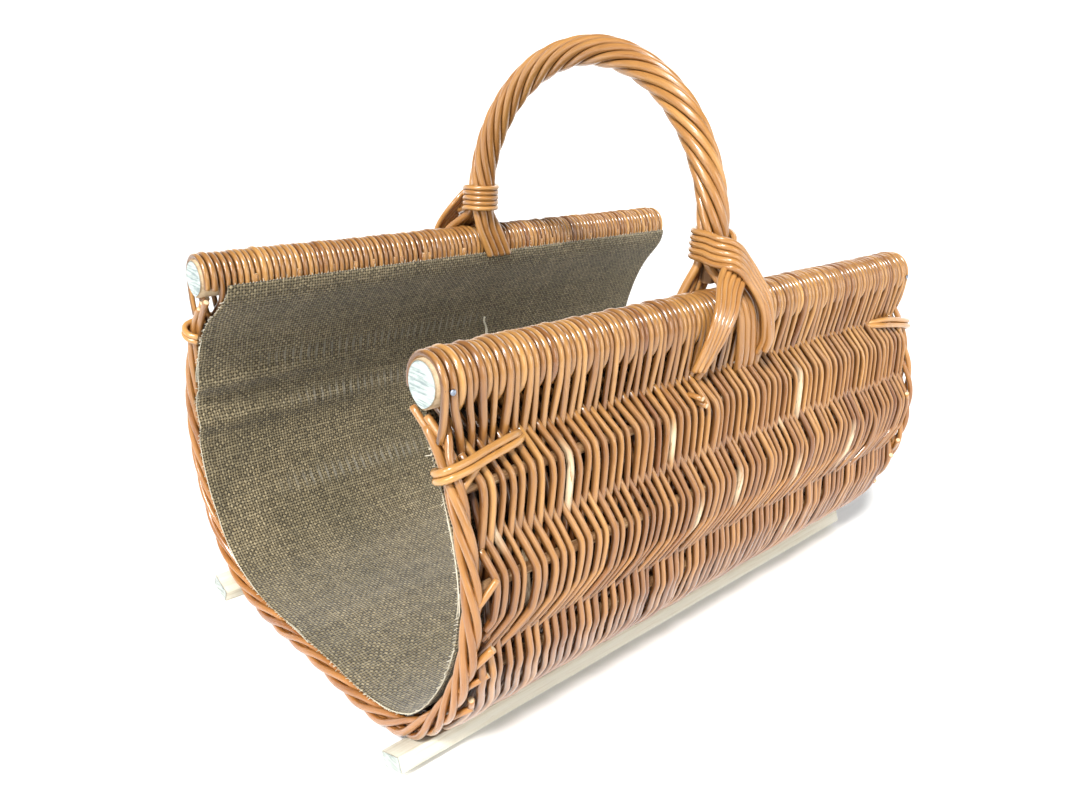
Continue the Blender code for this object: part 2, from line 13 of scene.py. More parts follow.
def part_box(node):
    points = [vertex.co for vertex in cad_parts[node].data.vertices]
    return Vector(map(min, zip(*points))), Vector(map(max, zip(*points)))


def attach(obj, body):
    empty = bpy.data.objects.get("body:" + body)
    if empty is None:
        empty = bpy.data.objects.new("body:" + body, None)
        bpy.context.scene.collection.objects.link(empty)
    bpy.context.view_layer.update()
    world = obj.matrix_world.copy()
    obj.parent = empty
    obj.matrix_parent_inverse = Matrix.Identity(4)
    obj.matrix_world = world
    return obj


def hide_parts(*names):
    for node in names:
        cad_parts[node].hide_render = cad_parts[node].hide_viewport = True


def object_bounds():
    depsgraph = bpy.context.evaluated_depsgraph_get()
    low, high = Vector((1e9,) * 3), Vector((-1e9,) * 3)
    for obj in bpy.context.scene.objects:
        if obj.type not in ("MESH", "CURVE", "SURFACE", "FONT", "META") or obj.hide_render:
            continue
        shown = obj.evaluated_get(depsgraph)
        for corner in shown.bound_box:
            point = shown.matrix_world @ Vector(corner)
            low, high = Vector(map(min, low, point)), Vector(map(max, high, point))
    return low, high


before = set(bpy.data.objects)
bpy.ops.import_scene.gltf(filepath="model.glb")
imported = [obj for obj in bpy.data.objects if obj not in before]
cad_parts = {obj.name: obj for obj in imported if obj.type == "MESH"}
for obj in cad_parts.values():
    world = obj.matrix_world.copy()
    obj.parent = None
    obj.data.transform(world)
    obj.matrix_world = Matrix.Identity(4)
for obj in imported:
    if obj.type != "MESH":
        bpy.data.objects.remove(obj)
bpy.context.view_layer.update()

rng = np.random.default_rng(11)

# Sizes that the looks add to the frame's own
ROD = 0.0049            # mean weaving rod
ROD_SPREAD = 0.00042
ROD_SIDES = 10
PITCH = 0.00795         # between neighbouring rods of one set
TOUCH = 0.0002          # least room between neighbouring wraps
CLEAR = 0.0003          # room between a rod and what it lies on
HANDLE_ROD = 0.0063
BINDER = 0.00235        # radius of the lacing and lashing rods
BANDS = 11              # the weave is drawn in as many lengths as the frame has bands
TILT = math.radians(21.3)   # runners, outer side up
EDGE = 0.2655           # rods of the wall stop here, inside the end borders
BARE = 0.0038           # from a rail's end to the middle of its first wrap
STEP = 0.0011           # spacing of the fine line that a rod is drawn from


# ---------------------------------------------------------------- places taken from the frame

def middle(node):
    low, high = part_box(node)
    return (np.array(low) + np.array(high)) / 2


STICKS = [middle(f"stick_{number:02d}")[1:] for number in range(1, 12)]
STICK_RADIUS = (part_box("stick_06")[1][2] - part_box("stick_06")[0][2]) / 2
RAIL_LOW, RAIL_HIGH = (np.array(corner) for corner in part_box("rail_back"))
RAIL_Y = (RAIL_LOW[1] + RAIL_HIGH[1]) / 2
RAIL_HALF = (RAIL_HIGH[1] - RAIL_LOW[1]) / 2
RAIL_Z = 0.281
RAIL_UP = RAIL_HIGH[2] - RAIL_Z
RAIL_DOWN = RAIL_Z - RAIL_LOW[2]
HALF_LENGTH = RAIL_HIGH[0]
CROSSING = np.array([RAIL_Y + 0.0145, RAIL_Z - 0.0370])
WAVE = STICK_RADIUS + CLEAR + 0.0025


# ---------------------------------------------------------------- meshes

def sweep(points, radii, sides, frame_axis=None, ripple=0.0):
    """Rings round a path. Returns vertices (n, sides, 3) and distances along the path."""
    points = np.asarray(points, float)
    tangent = tangents(points)
    count = len(points)
    if frame_axis is not None:
        across = np.cross(tangent, frame_axis)
        across /= np.linalg.norm(across, axis=1)[:, None]
    else:
        across = np.empty_like(points)
        seed = np.array([0.0, 0.0, 1.0]) if abs(tangent[0][2]) < 0.9 else np.array([1.0, 0.0, 0.0])
        side = np.cross(tangent[0], seed)
        for index in range(count):
            side = side - tangent[index] * side.dot(tangent[index])
            side /= np.linalg.norm(side)
            across[index] = side
    other = np.cross(tangent, across)
    turn = 2 * np.pi * np.arange(sides) / sides
    radii = np.broadcast_to(np.asarray(radii, float), (count,))
    shape = np.ones((count, sides))
    if ripple:
        phase = rng.uniform(0, 2 * np.pi, 2)
        shape += ripple * np.cos(2 * turn + phase[0])[None, :]
        shape += 0.5 * ripple * np.cos(3 * turn + phase[1])[None, :]
    ring = (across[:, None, :] * np.cos(turn)[None, :, None]
            + other[:, None, :] * np.sin(turn)[None, :, None])
    rings = points[:, None, :] + ring * (radii[:, None] * shape)[:, :, None]
    return rings, distances(points)


class Bundle:
    """Rods gathered into one mesh, each with its own tone, peeled stretches, painted shade and coordinates.
    """

    def __init__(self):
        self.verts, self.faces, self.slots = [], [], []
        self.uvs, self.tones = [], []
        self.start = 0

    def add(self, points, radii, sides=ROD_SIDES, tone=0.5, peel=0.0, frame_axis=None, ripple=0.03, dome=0.25,
            dark=None):
        rings, along = sweep(points, radii, sides, frame_axis, ripple)
        count = len(rings)
        offset = rng.uniform(0, 7.0)
        radii = np.broadcast_to(np.asarray(radii, float), (count,))
        self.verts.append(rings.reshape(-1, 3))
        index = self.start + np.arange(count * sides).reshape(count, sides)
        after = np.roll(index, -1, axis=1)
        quads = np.stack([index[:-1], after[:-1], after[1:], index[1:]], axis=-1).reshape(-1, 4)
        girth = 2 * np.pi * float(np.mean(radii)) / sides
        u = np.repeat(along, sides).reshape(count, sides) + offset
        v = np.broadcast_to(np.arange(sides + 1) * girth, (count, sides + 1))
        uq = np.stack([u[:-1], u[:-1], u[1:], u[1:]], axis=-1).reshape(-1, 4)
        vq = np.stack([v[:-1, :-1], v[:-1, 1:], v[1:, 1:], v[1:, :-1]], axis=-1).reshape(-1, 4)
        self.faces.append(quads)
        self.uvs.append(np.stack([uq, vq + offset * 0.37], axis=-1).reshape(-1, 2))
        self.slots.append(np.zeros(len(quads), int))
        self.start += count * sides
        peel = np.broadcast_to(np.asarray(peel, float), (count,))
        # Painted shade: dark(rings), when given, sets per vertex how strongly the material darkens the rod
        # where shade falls.
        shade = np.zeros(count * sides) if dark is None else dark(rings).ravel()
        self.tones.append(np.stack([np.full(count * sides, tone), np.repeat(peel, sides), shade], axis=1))
        for end in (0, -1):
            self._cap(rings[end], index[end], end == 0, radii[end], tone, offset, dome)

    def _cap(self, ring, index, first, radius, tone, offset, dome):
        sides = len(ring)
        centre = ring.mean(axis=0)
        normal = np.cross(ring[1] - ring[0], ring[2] - ring[1])
        normal = -normal / np.linalg.norm(normal) if first else normal / np.linalg.norm(normal)
        inner = centre + (ring - centre) * 0.80 + normal * radius * dome * 0.6
        tip = centre + normal * radius * dome
        self.verts.append(np.vstack([inner, tip[None]]))
        new = self.start + np.arange(sides)
        last = self.start + sides
        self.start += sides + 1
        self.tones.append(np.tile([tone, 0.0, 0.0], (sides + 1, 1)))
        quads, tris = [], []
        for k in range(sides):
            n = (k + 1) % sides
            if first:
                quads.append((index[n], index[k], new[k], new[n]))
                tris.append((new[n], new[k], last, last))
            else:
                quads.append((index[k], index[n], new[n], new[k]))
                tris.append((new[k], new[n], last, last))
        self.faces.append(np.array(quads + tris))
        turns = [2 * math.pi * k / sides for k in range(sides)]
        local = np.array([[math.cos(turn), math.sin(turn)] for turn in turns])
        flat = []
        for k in range(sides):
            n = (k + 1) % sides
            flat += [local[k], local[n], local[n] * 0.8, local[k] * 0.8]
        for k in range(sides):
            n = (k + 1) % sides
            flat += [local[k] * 0.8, local[n] * 0.8, local[k] * 0, local[k] * 0]
        self.uvs.append(np.array(flat) * radius + offset)
        self.slots.append(np.concatenate([np.zeros(sides, int), np.ones(sides, int)]))

    def build(self, name, materials):
        verts = np.vstack(self.verts)
        faces = np.vstack(self.faces)
        slots = np.concatenate(self.slots)
        uvs = np.vstack(self.uvs).reshape(-1, 4, 2)
        tones = np.vstack(self.tones)
        is_tri = faces[:, 2] == faces[:, 3]
        lengths = np.where(is_tri, 3, 4)
        starts = np.concatenate([[0], np.cumsum(lengths)[:-1]])
        keep = np.ones((len(faces), 4), bool)
        keep[is_tri, 3] = False
        loops = faces[keep]
        corner_uv = uvs[keep]
        mesh = bpy.data.meshes.new(name)
        mesh.vertices.add(len(verts))
        mesh.vertices.foreach_set("co", verts.ravel())
        mesh.loops.add(len(loops))
        mesh.loops.foreach_set("vertex_index", loops.astype(np.int32))
        mesh.polygons.add(len(faces))
        mesh.polygons.foreach_set("loop_start", starts.astype(np.int32))
        mesh.polygons.foreach_set("material_index", slots.astype(np.int32))
        mesh.update(calc_edges=True)
        layer = mesh.uv_layers.new(name="rod_uv")
        layer.data.foreach_set("uv", corner_uv.ravel())
        for number, label in enumerate(("tone", "peel", "shade")):
            attribute = mesh.attributes.new(label, "FLOAT", "POINT")
            attribute.data.foreach_set("value", tones[:, number].copy())
        mesh.polygons.foreach_set("use_smooth", np.full(len(faces), True))
        for material in materials:
            mesh.materials.append(material)
        mesh.validate()
        return add_object(name, mesh)


def add_object(name, data):
    thing = bpy.data.objects.new(name, data)
    bpy.context.scene.collection.objects.link(thing)
    return thing


def tube_faces(rings, sides):
    """Quads round a tube, ring after ring."""
    quads = []
    for low in range(0, (rings - 1) * sides, sides):
        for k in range(sides):
            n = (k + 1) % sides
            quads.append((low + k, low + n, low + sides + n, low + sides + k))
    return quads


def mesh_from(name, verts, faces, materials):
    mesh = bpy.data.meshes.new(name)
    mesh.from_pydata([tuple(v) for v in verts], [], [tuple(int(i) for i in f) for f in faces])
    for material in materials:
        mesh.materials.append(material)
    mesh.polygons.foreach_set("use_smooth", [True] * len(mesh.polygons))
    mesh.update()
    return add_object(name, mesh)


def put(piece, slot_name, *nodes):
    """Rides on the root body and stands for its CAD nodes; slot_name is not used."""
    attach(piece, "root")
    if nodes:
        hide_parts(*nodes)
    return piece


# ---------------------------------------------------------------- curves

def distances(points):
    """Distance along a path to each of its points."""
    return np.concatenate([[0.0], np.cumsum(np.linalg.norm(np.diff(points, axis=0), axis=1))])


def read(at, knots, table):
    """Each column of a table of knots, read at other places."""
    return np.stack([np.interp(at, knots, column) for column in table.T], axis=-1)


def tangents(path):
    slope = np.gradient(path, axis=0)
    return slope / np.linalg.norm(slope, axis=1)[:, None]


def gaussian(width):
    reach = int(3 * width) + 1
    kernel = np.exp(-0.5 * (np.arange(-reach, reach + 1) / width) ** 2)
    return reach, kernel / kernel.sum()


def smooth(values, width):
    """Gaussian smoothing along the first axis; width is in samples."""
    reach, kernel = gaussian(width)
    values = np.asarray(values, float)
    if values.ndim == 1:
        padded = np.pad(values, reach, mode="edge")
        return np.convolve(padded, kernel, mode="valid")
    return np.stack([smooth(values[:, axis], width) for axis in range(values.shape[1])], axis=1)


def smooth_ends(points, width):
    """Smooth a path but keep its two ends where they are."""
    points = np.asarray(points, float)
    reach, kernel = gaussian(width)
    head = 2 * points[0] - points[reach:0:-1]
    tail = 2 * points[-1] - points[-2:-reach - 2:-1]
    padded = np.vstack([head, points, tail])
    return np.stack([np.convolve(padded[:, axis], kernel, mode="valid")
                     for axis in range(points.shape[1])], axis=1)


def resample(points, step):
    points = np.asarray(points, float)
    arc = distances(points)
    count = max(3, int(round(arc[-1] / step)) + 1)
    even = np.linspace(0, arc[-1], count)
    return read(even, arc, points)


def spline(points, count):
    """Natural cubic through points, read at even distances."""
    points = np.array(points, float)
    steps = np.linalg.norm(np.diff(points, axis=0), axis=1)
    knots = np.concatenate([[0.0], np.cumsum(steps)])
    size = len(points)
    matrix = np.eye(size)
    right = np.zeros_like(points)
    for i in range(1, size - 1):
        matrix[i, i - 1:i + 2] = steps[i - 1], 2 * (steps[i - 1] + steps[i]), steps[i]
        right[i] = 6 * ((points[i + 1] - points[i]) / steps[i] - (points[i] - points[i - 1]) / steps[i - 1])
    bend = np.linalg.solve(matrix, right)
    fine = np.linspace(0.0, knots[-1], 40 * size)
    span = np.clip(np.searchsorted(knots, fine, side="right") - 1, 0, size - 2)
    step = steps[span][:, None]
    after = (fine - knots[span])[:, None]
    before = step - after
    curve = (bend[span] * before ** 3 + bend[span + 1] * after ** 3) / (6 * step)
    curve += (points[span] / step - bend[span] * step / 6) * before
    curve += (points[span + 1] / step - bend[span + 1] * step / 6) * after
    arc = distances(curve)
    even = np.linspace(0.0, arc[-1], count)
    return read(even, arc, curve)


# The wall's mid-line through the sticks. The place t is 0 at the front crossing row, k at stick k
# and 12 at the back crossing row.

def wall_line():
    stations = [CROSSING * (-1, 1)] + [np.array(stick) for stick in STICKS] + [CROSSING]
    line = spline(stations, 1800)
    arc = distances(line)
    knots = []
    for station in stations:
        knots.append(arc[np.argmin(np.linalg.norm(line - station, axis=1))])
    knots[0], knots[-1] = 0.0, arc[-1]
    slope = np.gradient(line, arc, axis=0)
    slope /= np.linalg.norm(slope, axis=1)[:, None]
    return line, arc, np.array(knots), np.stack([slope[:, 1], -slope[:, 0]], axis=1)


LINE, ARC, KNOTS, OUTWARD = wall_line()
TOTAL = ARC[-1]
LAST = len(KNOTS) - 1


def wall_at(distance):
    """(y, z) of the mid-line and its outward direction, for an array of distances."""
    place = read(distance, ARC, LINE)
    out = read(distance, ARC, OUTWARD)
    return place, out / np.linalg.norm(out, axis=-1)[..., None]


def beside_wall(x, at, offset):
    """A point outward of the mid-line at one distance along it."""
    place, out = wall_at(np.array([at]))
    return (x, *(place[0] + out[0] * offset))


def t_of(distance):
    return np.interp(distance, KNOTS, np.arange(LAST + 1))


def s_of(t):
    return np.interp(t, np.arange(LAST + 1), KNOTS)


def egg(grow, angle):
    """Outline of the rail grown outward; angle in degrees, 0 on the outer side, 90 on top."""
    turn = np.radians(angle)
    height = np.where(np.sin(turn) >= 0, RAIL_UP, RAIL_DOWN)
    return np.stack([(RAIL_HALF + grow) * np.cos(turn), (height + grow) * np.sin(turn)], axis=-1)


# ---------------------------------------------------------------- the weave

# How a set A rod, which passes outside the rails, and a set B rod shift along X on their way from
# the front rail to the middle: pairs of place t and shift in eighths of a pitch.
SHIFT_A = ((0.15, 0.0), (1.0, -2.4), (1.5, -5.5), (1.93, 2.0), (2.36, 2.0), (2.68, -17.0), (3.0, -18.0),
           (3.55, -17.5), (4.0, -17.5), (5.0, -18.0), (6.0, -17.0))
SHIFT_B = ((-0.2, 0.0), (0.02, 0.0), (0.93, 7.3), (1.16, 7.3), (1.60, 2.6), (2.0, 2.0), (2.5, 0.0),
           (2.67, 0.0),
           (3.0, 4.0), (3.08, 5.0), (3.30, 12.5), (3.6, 14.6), (4.0, 14.8), (5.0, 15.4), (6.0, 14.8))
# Where each set changes side between sticks, as a share of the way from the upper stick.
SWAP = {1: 0.56, 2: 0.64, 3: 0.68}
HOLD = 0.80             # set B stays outside this far on its way down to the runner's stick


def wave_sign(t, outside_first):
    """Offset from -1 to 1 across the wall for a rod, in straight runs between the sticks."""
    knots, values = [-1.0], [1.0 if outside_first else -1.0]
    knots.append(0.0)
    values.append(0.0)
    sign = -1.0 if outside_first else 1.0
    for stick in range(1, LAST):
        knots += [stick - 0.06, stick + 0.06]
        values += [sign, sign]
        if stick < LAST - 1:
            near = stick if stick < LAST / 2 else LAST - 1 - stick
            lower = stick < LAST / 2
            if near == 3 and not outside_first:
                knots += [stick + HOLD - 0.02, stick + HOLD + 0.06] if lower else [stick + 0.94 - HOLD,
                                                                                   stick + 1.02 - HOLD]
                values += [1.0, 0.0] if lower else [0.0, 1.0]
            else:
                swap = SWAP.get(near, 0.5)
                knots.append(stick + (swap if lower else 1 - swap))
                values.append(0.0)
        sign = -sign
    knots += [float(LAST), LAST + 1.0]
    values += [0.0, values[0]]
    return np.interp(t, knots, values)


def shift_at(t, table, pitch_scale):
    places = np.array([place for place, _ in table])
    shifts = np.array([shift for _, shift in table]) * pitch_scale
    front = np.interp(t, places, shifts)
    back = 2 * shifts[-1] - np.interp(LAST - t, places, shifts)
    return np.where(t <= LAST / 2, front, back)


def rail_rise(outside, radius):
    """(y, z) from beside the crossing row up to the back rail, then round it."""
    reach = radius + CLEAR
    if outside:
        rise = [(RAIL_Y + RAIL_HALF + reach - 0.0006, RAIL_Z - 0.0240),
                (RAIL_Y + RAIL_HALF + reach, RAIL_Z - 0.0110)]
        angles = np.arange(0, 205, 8)
    else:
        rise = [(RAIL_Y + 0.0010, RAIL_Z - RAIL_DOWN - 0.0110),
                (RAIL_Y - 0.0100, RAIL_Z - RAIL_DOWN - 0.0030),
                (RAIL_Y - RAIL_HALF - reach + 0.0002, RAIL_Z - 0.0080)]
        angles = np.arange(0, 234, 8)
    ring = egg(reach, angles)
    if not outside:
        ring[:, 0] *= -1
    ring += (RAIL_Y, RAIL_Z)
    return np.array(rise), ring


def plan_rail(base, indices):
    """Wraps along one rail: places of the A rods, and of the curls that fill the room between them.
    base[i] is rod i's place below the rail. Curl i lies after A rod i."""
    places, curls = {}, {}
    x = -HALF_LENGTH + BARE
    curls[indices[0] - 1] = x
    x += RADII_B[indices[0] - 1] + RADII_A[indices[0]] + TOUCH
    for index in indices:
        places[index] = x
        after = index + 1
        if index == indices[-1]:
            break
        plain = x + RADII_A[index] + RADII_A[after] + TOUCH
        if base[after] - plain > 0.0026 + rng.normal(0, 0.0007):
            curls[index] = x + RADII_A[index] + RADII_B[index] + TOUCH
            x = curls[index] + RADII_B[index] + RADII_A[after] + TOUCH
        else:
            x = plain
    last = indices[-1]
    curls[last] = x + RADII_A[last] + RADII_B[last] + TOUCH
    start = -HALF_LENGTH + BARE
    scale = 2 * (HALF_LENGTH - BARE) / (curls[last] - start)
    return tuple({key: start + (place - start) * scale for key, place in group.items()}
                 for group in (places, curls))


INDEX = range(-6, 78)      # some rods lie wholly past an end on one wall
RADII_A = {i: max(0.0020, rng.normal(ROD / 2, ROD_SPREAD / 2)) for i in INDEX}
RADII_B = {i: max(0.0020, rng.normal(ROD / 2, ROD_SPREAD / 2)) for i in INDEX}
BASE_A = {i: -EDGE + 0.0030 + i * PITCH for i in INDEX}
SCALE = PITCH / 8.0
BACK_A = 2 * SHIFT_A[-1][1] * SCALE
BACK_B = 2 * SHIFT_B[-1][1] * SCALE
LATE = int(round((BACK_B + 0.5 * PITCH - BACK_A) / PITCH - 0.5))   # set B arrives this many rods later


def weave():
    """Every rod of both sets, and the nailed wraps, as (path, radius, tone)."""
    front_index = [i for i in INDEX if abs(BASE_A[i]) < EDGE]
    back_index = [i for i in INDEX if abs(BASE_A[i] + BACK_A) < EDGE]
    front_a, front_c = plan_rail(BASE_A, front_index)
    back_a, back_c = plan_rail({i: BASE_A[i] + BACK_A for i in INDEX}, back_index)
    rods = []
    for curls, sign in ((front_c, -1), (back_c, 1)):
        for key in (min(curls), max(curls)):
            rods.append(nailed_wrap(curls.pop(key), 0.0023, sign))
    for i in INDEX:
        tone = float(np.clip(rng.normal(0.48, 0.18), 0, 1))
        rods.append(one_rod(True, BASE_A[i], RADII_A[i], front_a.get(i), back_a.get(i), tone))
        tone = float(np.clip(rng.normal(0.48, 0.18), 0, 1))
        rods.append(one_rod(False, BASE_A[i] + PITCH / 2, RADII_B[i], front_c.get(i),
                            back_c.get(i + LATE), tone))
    return rods


def nailed_wrap(x, radius, sign):
    """The first wrap at a rail's end: over the top and straight down its outer side, nailed."""
    reach = radius + CLEAR
    ring = egg(reach, np.arange(198, -1, -6.0))
    tail = [(RAIL_HALF + reach - inward, -drop)
            for inward, drop in ((0.0002, 0.010), (0.0014, 0.021), (0.0044, 0.032))]
    ring = np.vstack([ring, tail]) + (RAIL_Y, RAIL_Z)
    path = np.column_stack([np.full(len(ring), x), ring[:, 0] * sign, ring[:, 1]])
    return resample(path, STEP), radius, float(rng.uniform(0.5, 0.9))


def one_rod(outside, base, radius, front_x, back_x, tone):
    """One rod from rail to rail. front_x and back_x are its places on the rails, or None."""
    table = SHIFT_A if outside else SHIFT_B
    distance = np.arange(0.0, TOTAL, STEP)
    knots = np.arange(-1, LAST + 2)
    t = t_of(distance)
    late = np.interp(t, knots, rng.normal(0, 0.035, len(knots)))
    bent = np.clip(t + late, 0, LAST)
    x = base + shift_at(bent, table, SCALE)
    x += np.interp(t, knots, rng.normal(0, 0.00060, len(knots)))
    w = wave_sign(bent, outside) * (WAVE + radius - 0.0025)
    w += np.interp(t, knots, rng.normal(0, 0.0003, len(knots)))
    if not outside:
        w += 0.0010 * (np.exp(-((bent - 3.38) / 0.16) ** 2) + np.exp(-((bent - LAST + 3.38) / 0.16) ** 2))
    place, out = wall_at(distance)
    body = np.column_stack([x, place + out * w[:, None]])
    rise, ring = rail_rise(outside, radius)
    tops = []
    for rail_x, below, sign in ((front_x, x[0], -1), (back_x, x[-1], 1)):
        here = below if rail_x is None else rail_x
        stem = [(below + (here - below) * share, y, z)
                for (y, z), share in zip(rise, np.linspace(0.4, 0.9, len(rise)))]
        if rail_x is not None:
            stem += [(here, y, z) for y, z in ring]
        elif outside or abs(below) > EDGE:
            stem = []
        else:
            stem.append((here, *ring[1]))
        top = np.array(stem).reshape(-1, 3)
        top[:, 1] *= sign
        tops.append(top)
    path = np.vstack([tops[0][::-1], body[2:-2], tops[1]])
    return smooth_ends(resample(path, STEP), 1.7), radius, tone


def clip(path):
    """The runs of a path that lie between the end borders, or up on the rails."""
    inside = np.abs(path[:, 0]) < EDGE
    inside |= path[:, 2] > RAIL_Z - 0.034
    runs, start = [], None
    for index, flag in enumerate(inside):
        if flag and start is None:
            start = index
        if not flag and start is not None:
            runs.append((start, index))
            start = None
    if start is not None:
        runs.append((start, len(path)))
    return [path[a:b] for a, b in runs if b - a > 12]


def thin(path):
    """Fewer points where the rod is straight, more where it bends."""
    tangent = tangents(path)
    bend = np.linalg.norm(np.gradient(tangent, axis=0), axis=1) / STEP
    want = np.clip(0.11 / np.maximum(bend, 1e-3), 0.0016, 0.0048)
    cost = np.concatenate([[0.0], np.cumsum(STEP / want[1:])])
    count = max(4, int(round(cost[-1])) + 1)
    at = np.linspace(0, cost[-1], count)
    return read(at, cost, path)


def wall_painted_shade(rings):
    """Painted shade for each point of a wall rod: darker on its sides between its neighbours, and on rods
    lying behind the outer ones.
    """
    centre = rings.mean(axis=1)
    arm = rings - centre[:, None]
    beside = np.abs(arm[..., 0]) / np.linalg.norm(arm, axis=-1)
    coarse, outward = LINE[::12], OUTWARD[::12]
    gap = centre[:, None, 1:] - coarse[None]
    nearest = np.argmin(np.linalg.norm(gap, axis=-1), axis=1)
    depth = np.sum(gap[np.arange(len(centre)), nearest] * outward[nearest], axis=1)
    behind = np.clip((0.0015 - depth) / 0.0075, 0, 1)
    behind *= np.clip((RAIL_Z - 0.022 - centre[:, 2]) / 0.010, 0, 1)
    return np.clip(0.95 * beside ** 3 + 0.90 * behind[:, None], 0, 1)


def build_weave(materials):
    bundles = [Bundle() for _ in range(BANDS)]
    for path, radius, tone in weave():
        for run in clip(path):
            line = thin(run)
            mid = run[len(run) // 2][0]
            number = int(np.clip((mid + HALF_LENGTH) / (2 * HALF_LENGTH) * BANDS, 0, BANDS - 1))
            along = np.linspace(0, 1, len(line))
            taper = 1 + 0.10 * (along - 0.5) * rng.choice([-1, 1])
            heights = (0.06, 0.14, RAIL_Z - 0.020, RAIL_Z - 0.016)
            bumps = smooth(np.interp(line[:, 2], heights, (1.06, 0.98, 0.96, 1.03)), 2)
            for _ in range(rng.integers(2, 6)):
                at = rng.uniform(0.03, 0.97)
                bumps += rng.uniform(0.03, 0.09) * np.exp(-((along - at) / 0.003) ** 2)
            peel = np.zeros(len(line))
            if rng.random() < 0.14:
                t = rng.choice([1.25, 2.1, 2.25, 3.1, 8.8, 9.8])
                target, _ = wall_at(s_of(t))
                gap = np.linalg.norm(line[:, 1:] - target, axis=1)
                peel = np.clip(1.4 - gap / rng.uniform(0.010, 0.022), 0, 1)
            # The dark argument paints shade onto the rods' sides and onto rods lying behind.
            bundles[number].add(line, radius * taper * bumps, tone=tone, peel=peel,
                                frame_axis=(1.0, 0.0, 0.0),
                                dark=wall_painted_shade)
    for number, bundle in enumerate(bundles):
        piece = bundle.build(f"woven_rods_{number + 1:02d}", materials)
        put(piece, "willow", f"weave_band_{number + 1:02d}")


# ---------------------------------------------------------------- sticks, rails and runners

def build_sticks(materials):
    for number, (y, z) in enumerate(STICKS):
        bundle = Bundle()
        x = np.linspace(-HALF_LENGTH + 0.0085, HALF_LENGTH - 0.0085, 60)
        sway = smooth(rng.normal(0, 1, 60), 6) * 0.0006
        bundle.add(np.column_stack([x, y + sway, np.full(60, z)]),
                   STICK_RADIUS * (1 + smooth(rng.normal(0, 1, 60), 3) * 0.02),
                   sides=12, tone=float(rng.uniform(0.3, 0.7)))
        piece = bundle.build(f"lengthwise_stick_{number + 1:02d}", materials)
        put(piece, "willow", f"stick_{number + 1:02d}")


def rail_outline(count=72):
    angles = np.arange(count) * 360.0 / count
    points = egg(0.0, angles)
    lower = np.sin(np.radians(angles)) < -0.05
    squeeze = np.ones(count)
    squeeze[lower] = np.abs(np.cos(np.radians(angles[lower]))) ** 0.35
    points[:, 0] *= squeeze
    return points


def solid_bar(name, outline, x_low, x_high, centre, materials, rings=9, soften=0.0012):
    """A bar along X with softened arrises round its ends and gridded end faces."""
    count = len(outline)
    verts = []
    stations = [(x_low, 1.0), (x_low + soften, 0.0)]
    stations += [(x, 0.0) for x in np.linspace(x_low, x_high, 50)[1:-1]]
    stations += [(x_high - soften, 0.0), (x_high, 1.0)]
    size = np.abs(outline).max()
    for x, inset in stations:
        scale = 1 - inset * soften / size
        wave = 0.00012 * math.sin(x * 61) + 0.0001 * math.sin(x * 23 + 1)
        for y, z in outline:
            verts.append((x, centre[0] + y * scale, centre[1] + z * scale + wave))
    faces = tube_faces(len(stations), count)
    sides = len(faces)
    for s, sign in ((0, -1), (len(stations) - 1, 1)):
        previous = [s * count + k for k in range(count)]
        x, inset = stations[s]
        scale = 1 - inset * soften / size
        for ring in range(1, rings):
            share = 1 - ring / rings
            start = len(verts)
            for y, z in outline:
                saw = 0.00016 * math.sin((z * scale * share) * 2400 + y * 160)
                saw += 0.00010 * math.sin((z * share) * 5100 - y * 310 + 1.3)
                verts.append((x + sign * saw, centre[0] + y * scale * share, centre[1] + z * scale * share))
            here = list(range(start, start + count))
            for k in range(count):
                n = (k + 1) % count
                quad = (previous[k], here[k], here[n], previous[n]) if sign > 0 else \
                    (previous[n], here[n], here[k], previous[k])
                faces.append(quad)
            previous = here
        verts.append((x, centre[0], centre[1]))
        tip = len(verts) - 1
        for k in range(count):
            n = (k + 1) % count
            faces.append((previous[k], tip, previous[n]) if sign > 0 else (previous[n], tip, previous[k]))
    thing = mesh_from(name, verts, faces, materials)
    thing.data.polygons.foreach_set("material_index", [0] * sides + [1] * (len(faces) - sides))
    thing.data.update()
    return thing


def build_rails(materials):
    for side, name in ((-1, "front"), (1, "back")):
        outline = rail_outline()
        piece = solid_bar(f"rail_bar_{name}", outline, -HALF_LENGTH, HALF_LENGTH,
                          (side * RAIL_Y, RAIL_Z), materials,
                          rings=14)
        put(piece, "pale_wood", f"rail_{name}")


def build_runners(materials):
    width, thick, corner = 0.0223, 0.0120, 0.0011
    across = np.array([math.cos(TILT), math.sin(TILT)])
    up = np.array([-math.sin(TILT), math.cos(TILT)])
    for side, name in ((-1, "front"), (1, "back")):
        low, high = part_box(f"runner_{name}")
        edge = min(abs(low[1]), abs(high[1])) + math.sin(TILT) * thick
        centre = np.array([edge, 0.0]) + across * width / 2 + up * thick / 2
        outline = []
        for cx, cy, start in ((1, 1, 0), (-1, 1, 90), (-1, -1, 180), (1, -1, 270)):
            for step in range(0, 91, 30):
                turn = math.radians(start + step)
                a = cx * (width / 2 - corner) + corner * math.cos(turn)
                b = cy * (thick / 2 - corner) + corner * math.sin(turn)
                outline.append(across * a + up * b)
        outline = np.array(outline)
        outline[:, 0] *= side
        piece = solid_bar(f"runner_batten_{name}", outline, low[0], high[0],
                          (side * centre[0], centre[1]), materials, rings=8, soften=0.0007)
        put(piece, "pale_wood", f"runner_{name}")


# ---------------------------------------------------------------- end borders and lacing

BORDER_X = HALF_LENGTH - 0.0062     # middle of a border's rope
BORDER_TOPS = ((0.2768, 0.1388, 0.2640), (0.2772, 0.1520, 0.2560), (0.2752, 0.1500, 0.2615),
               (0.2675, 0.1570, 0.2620))


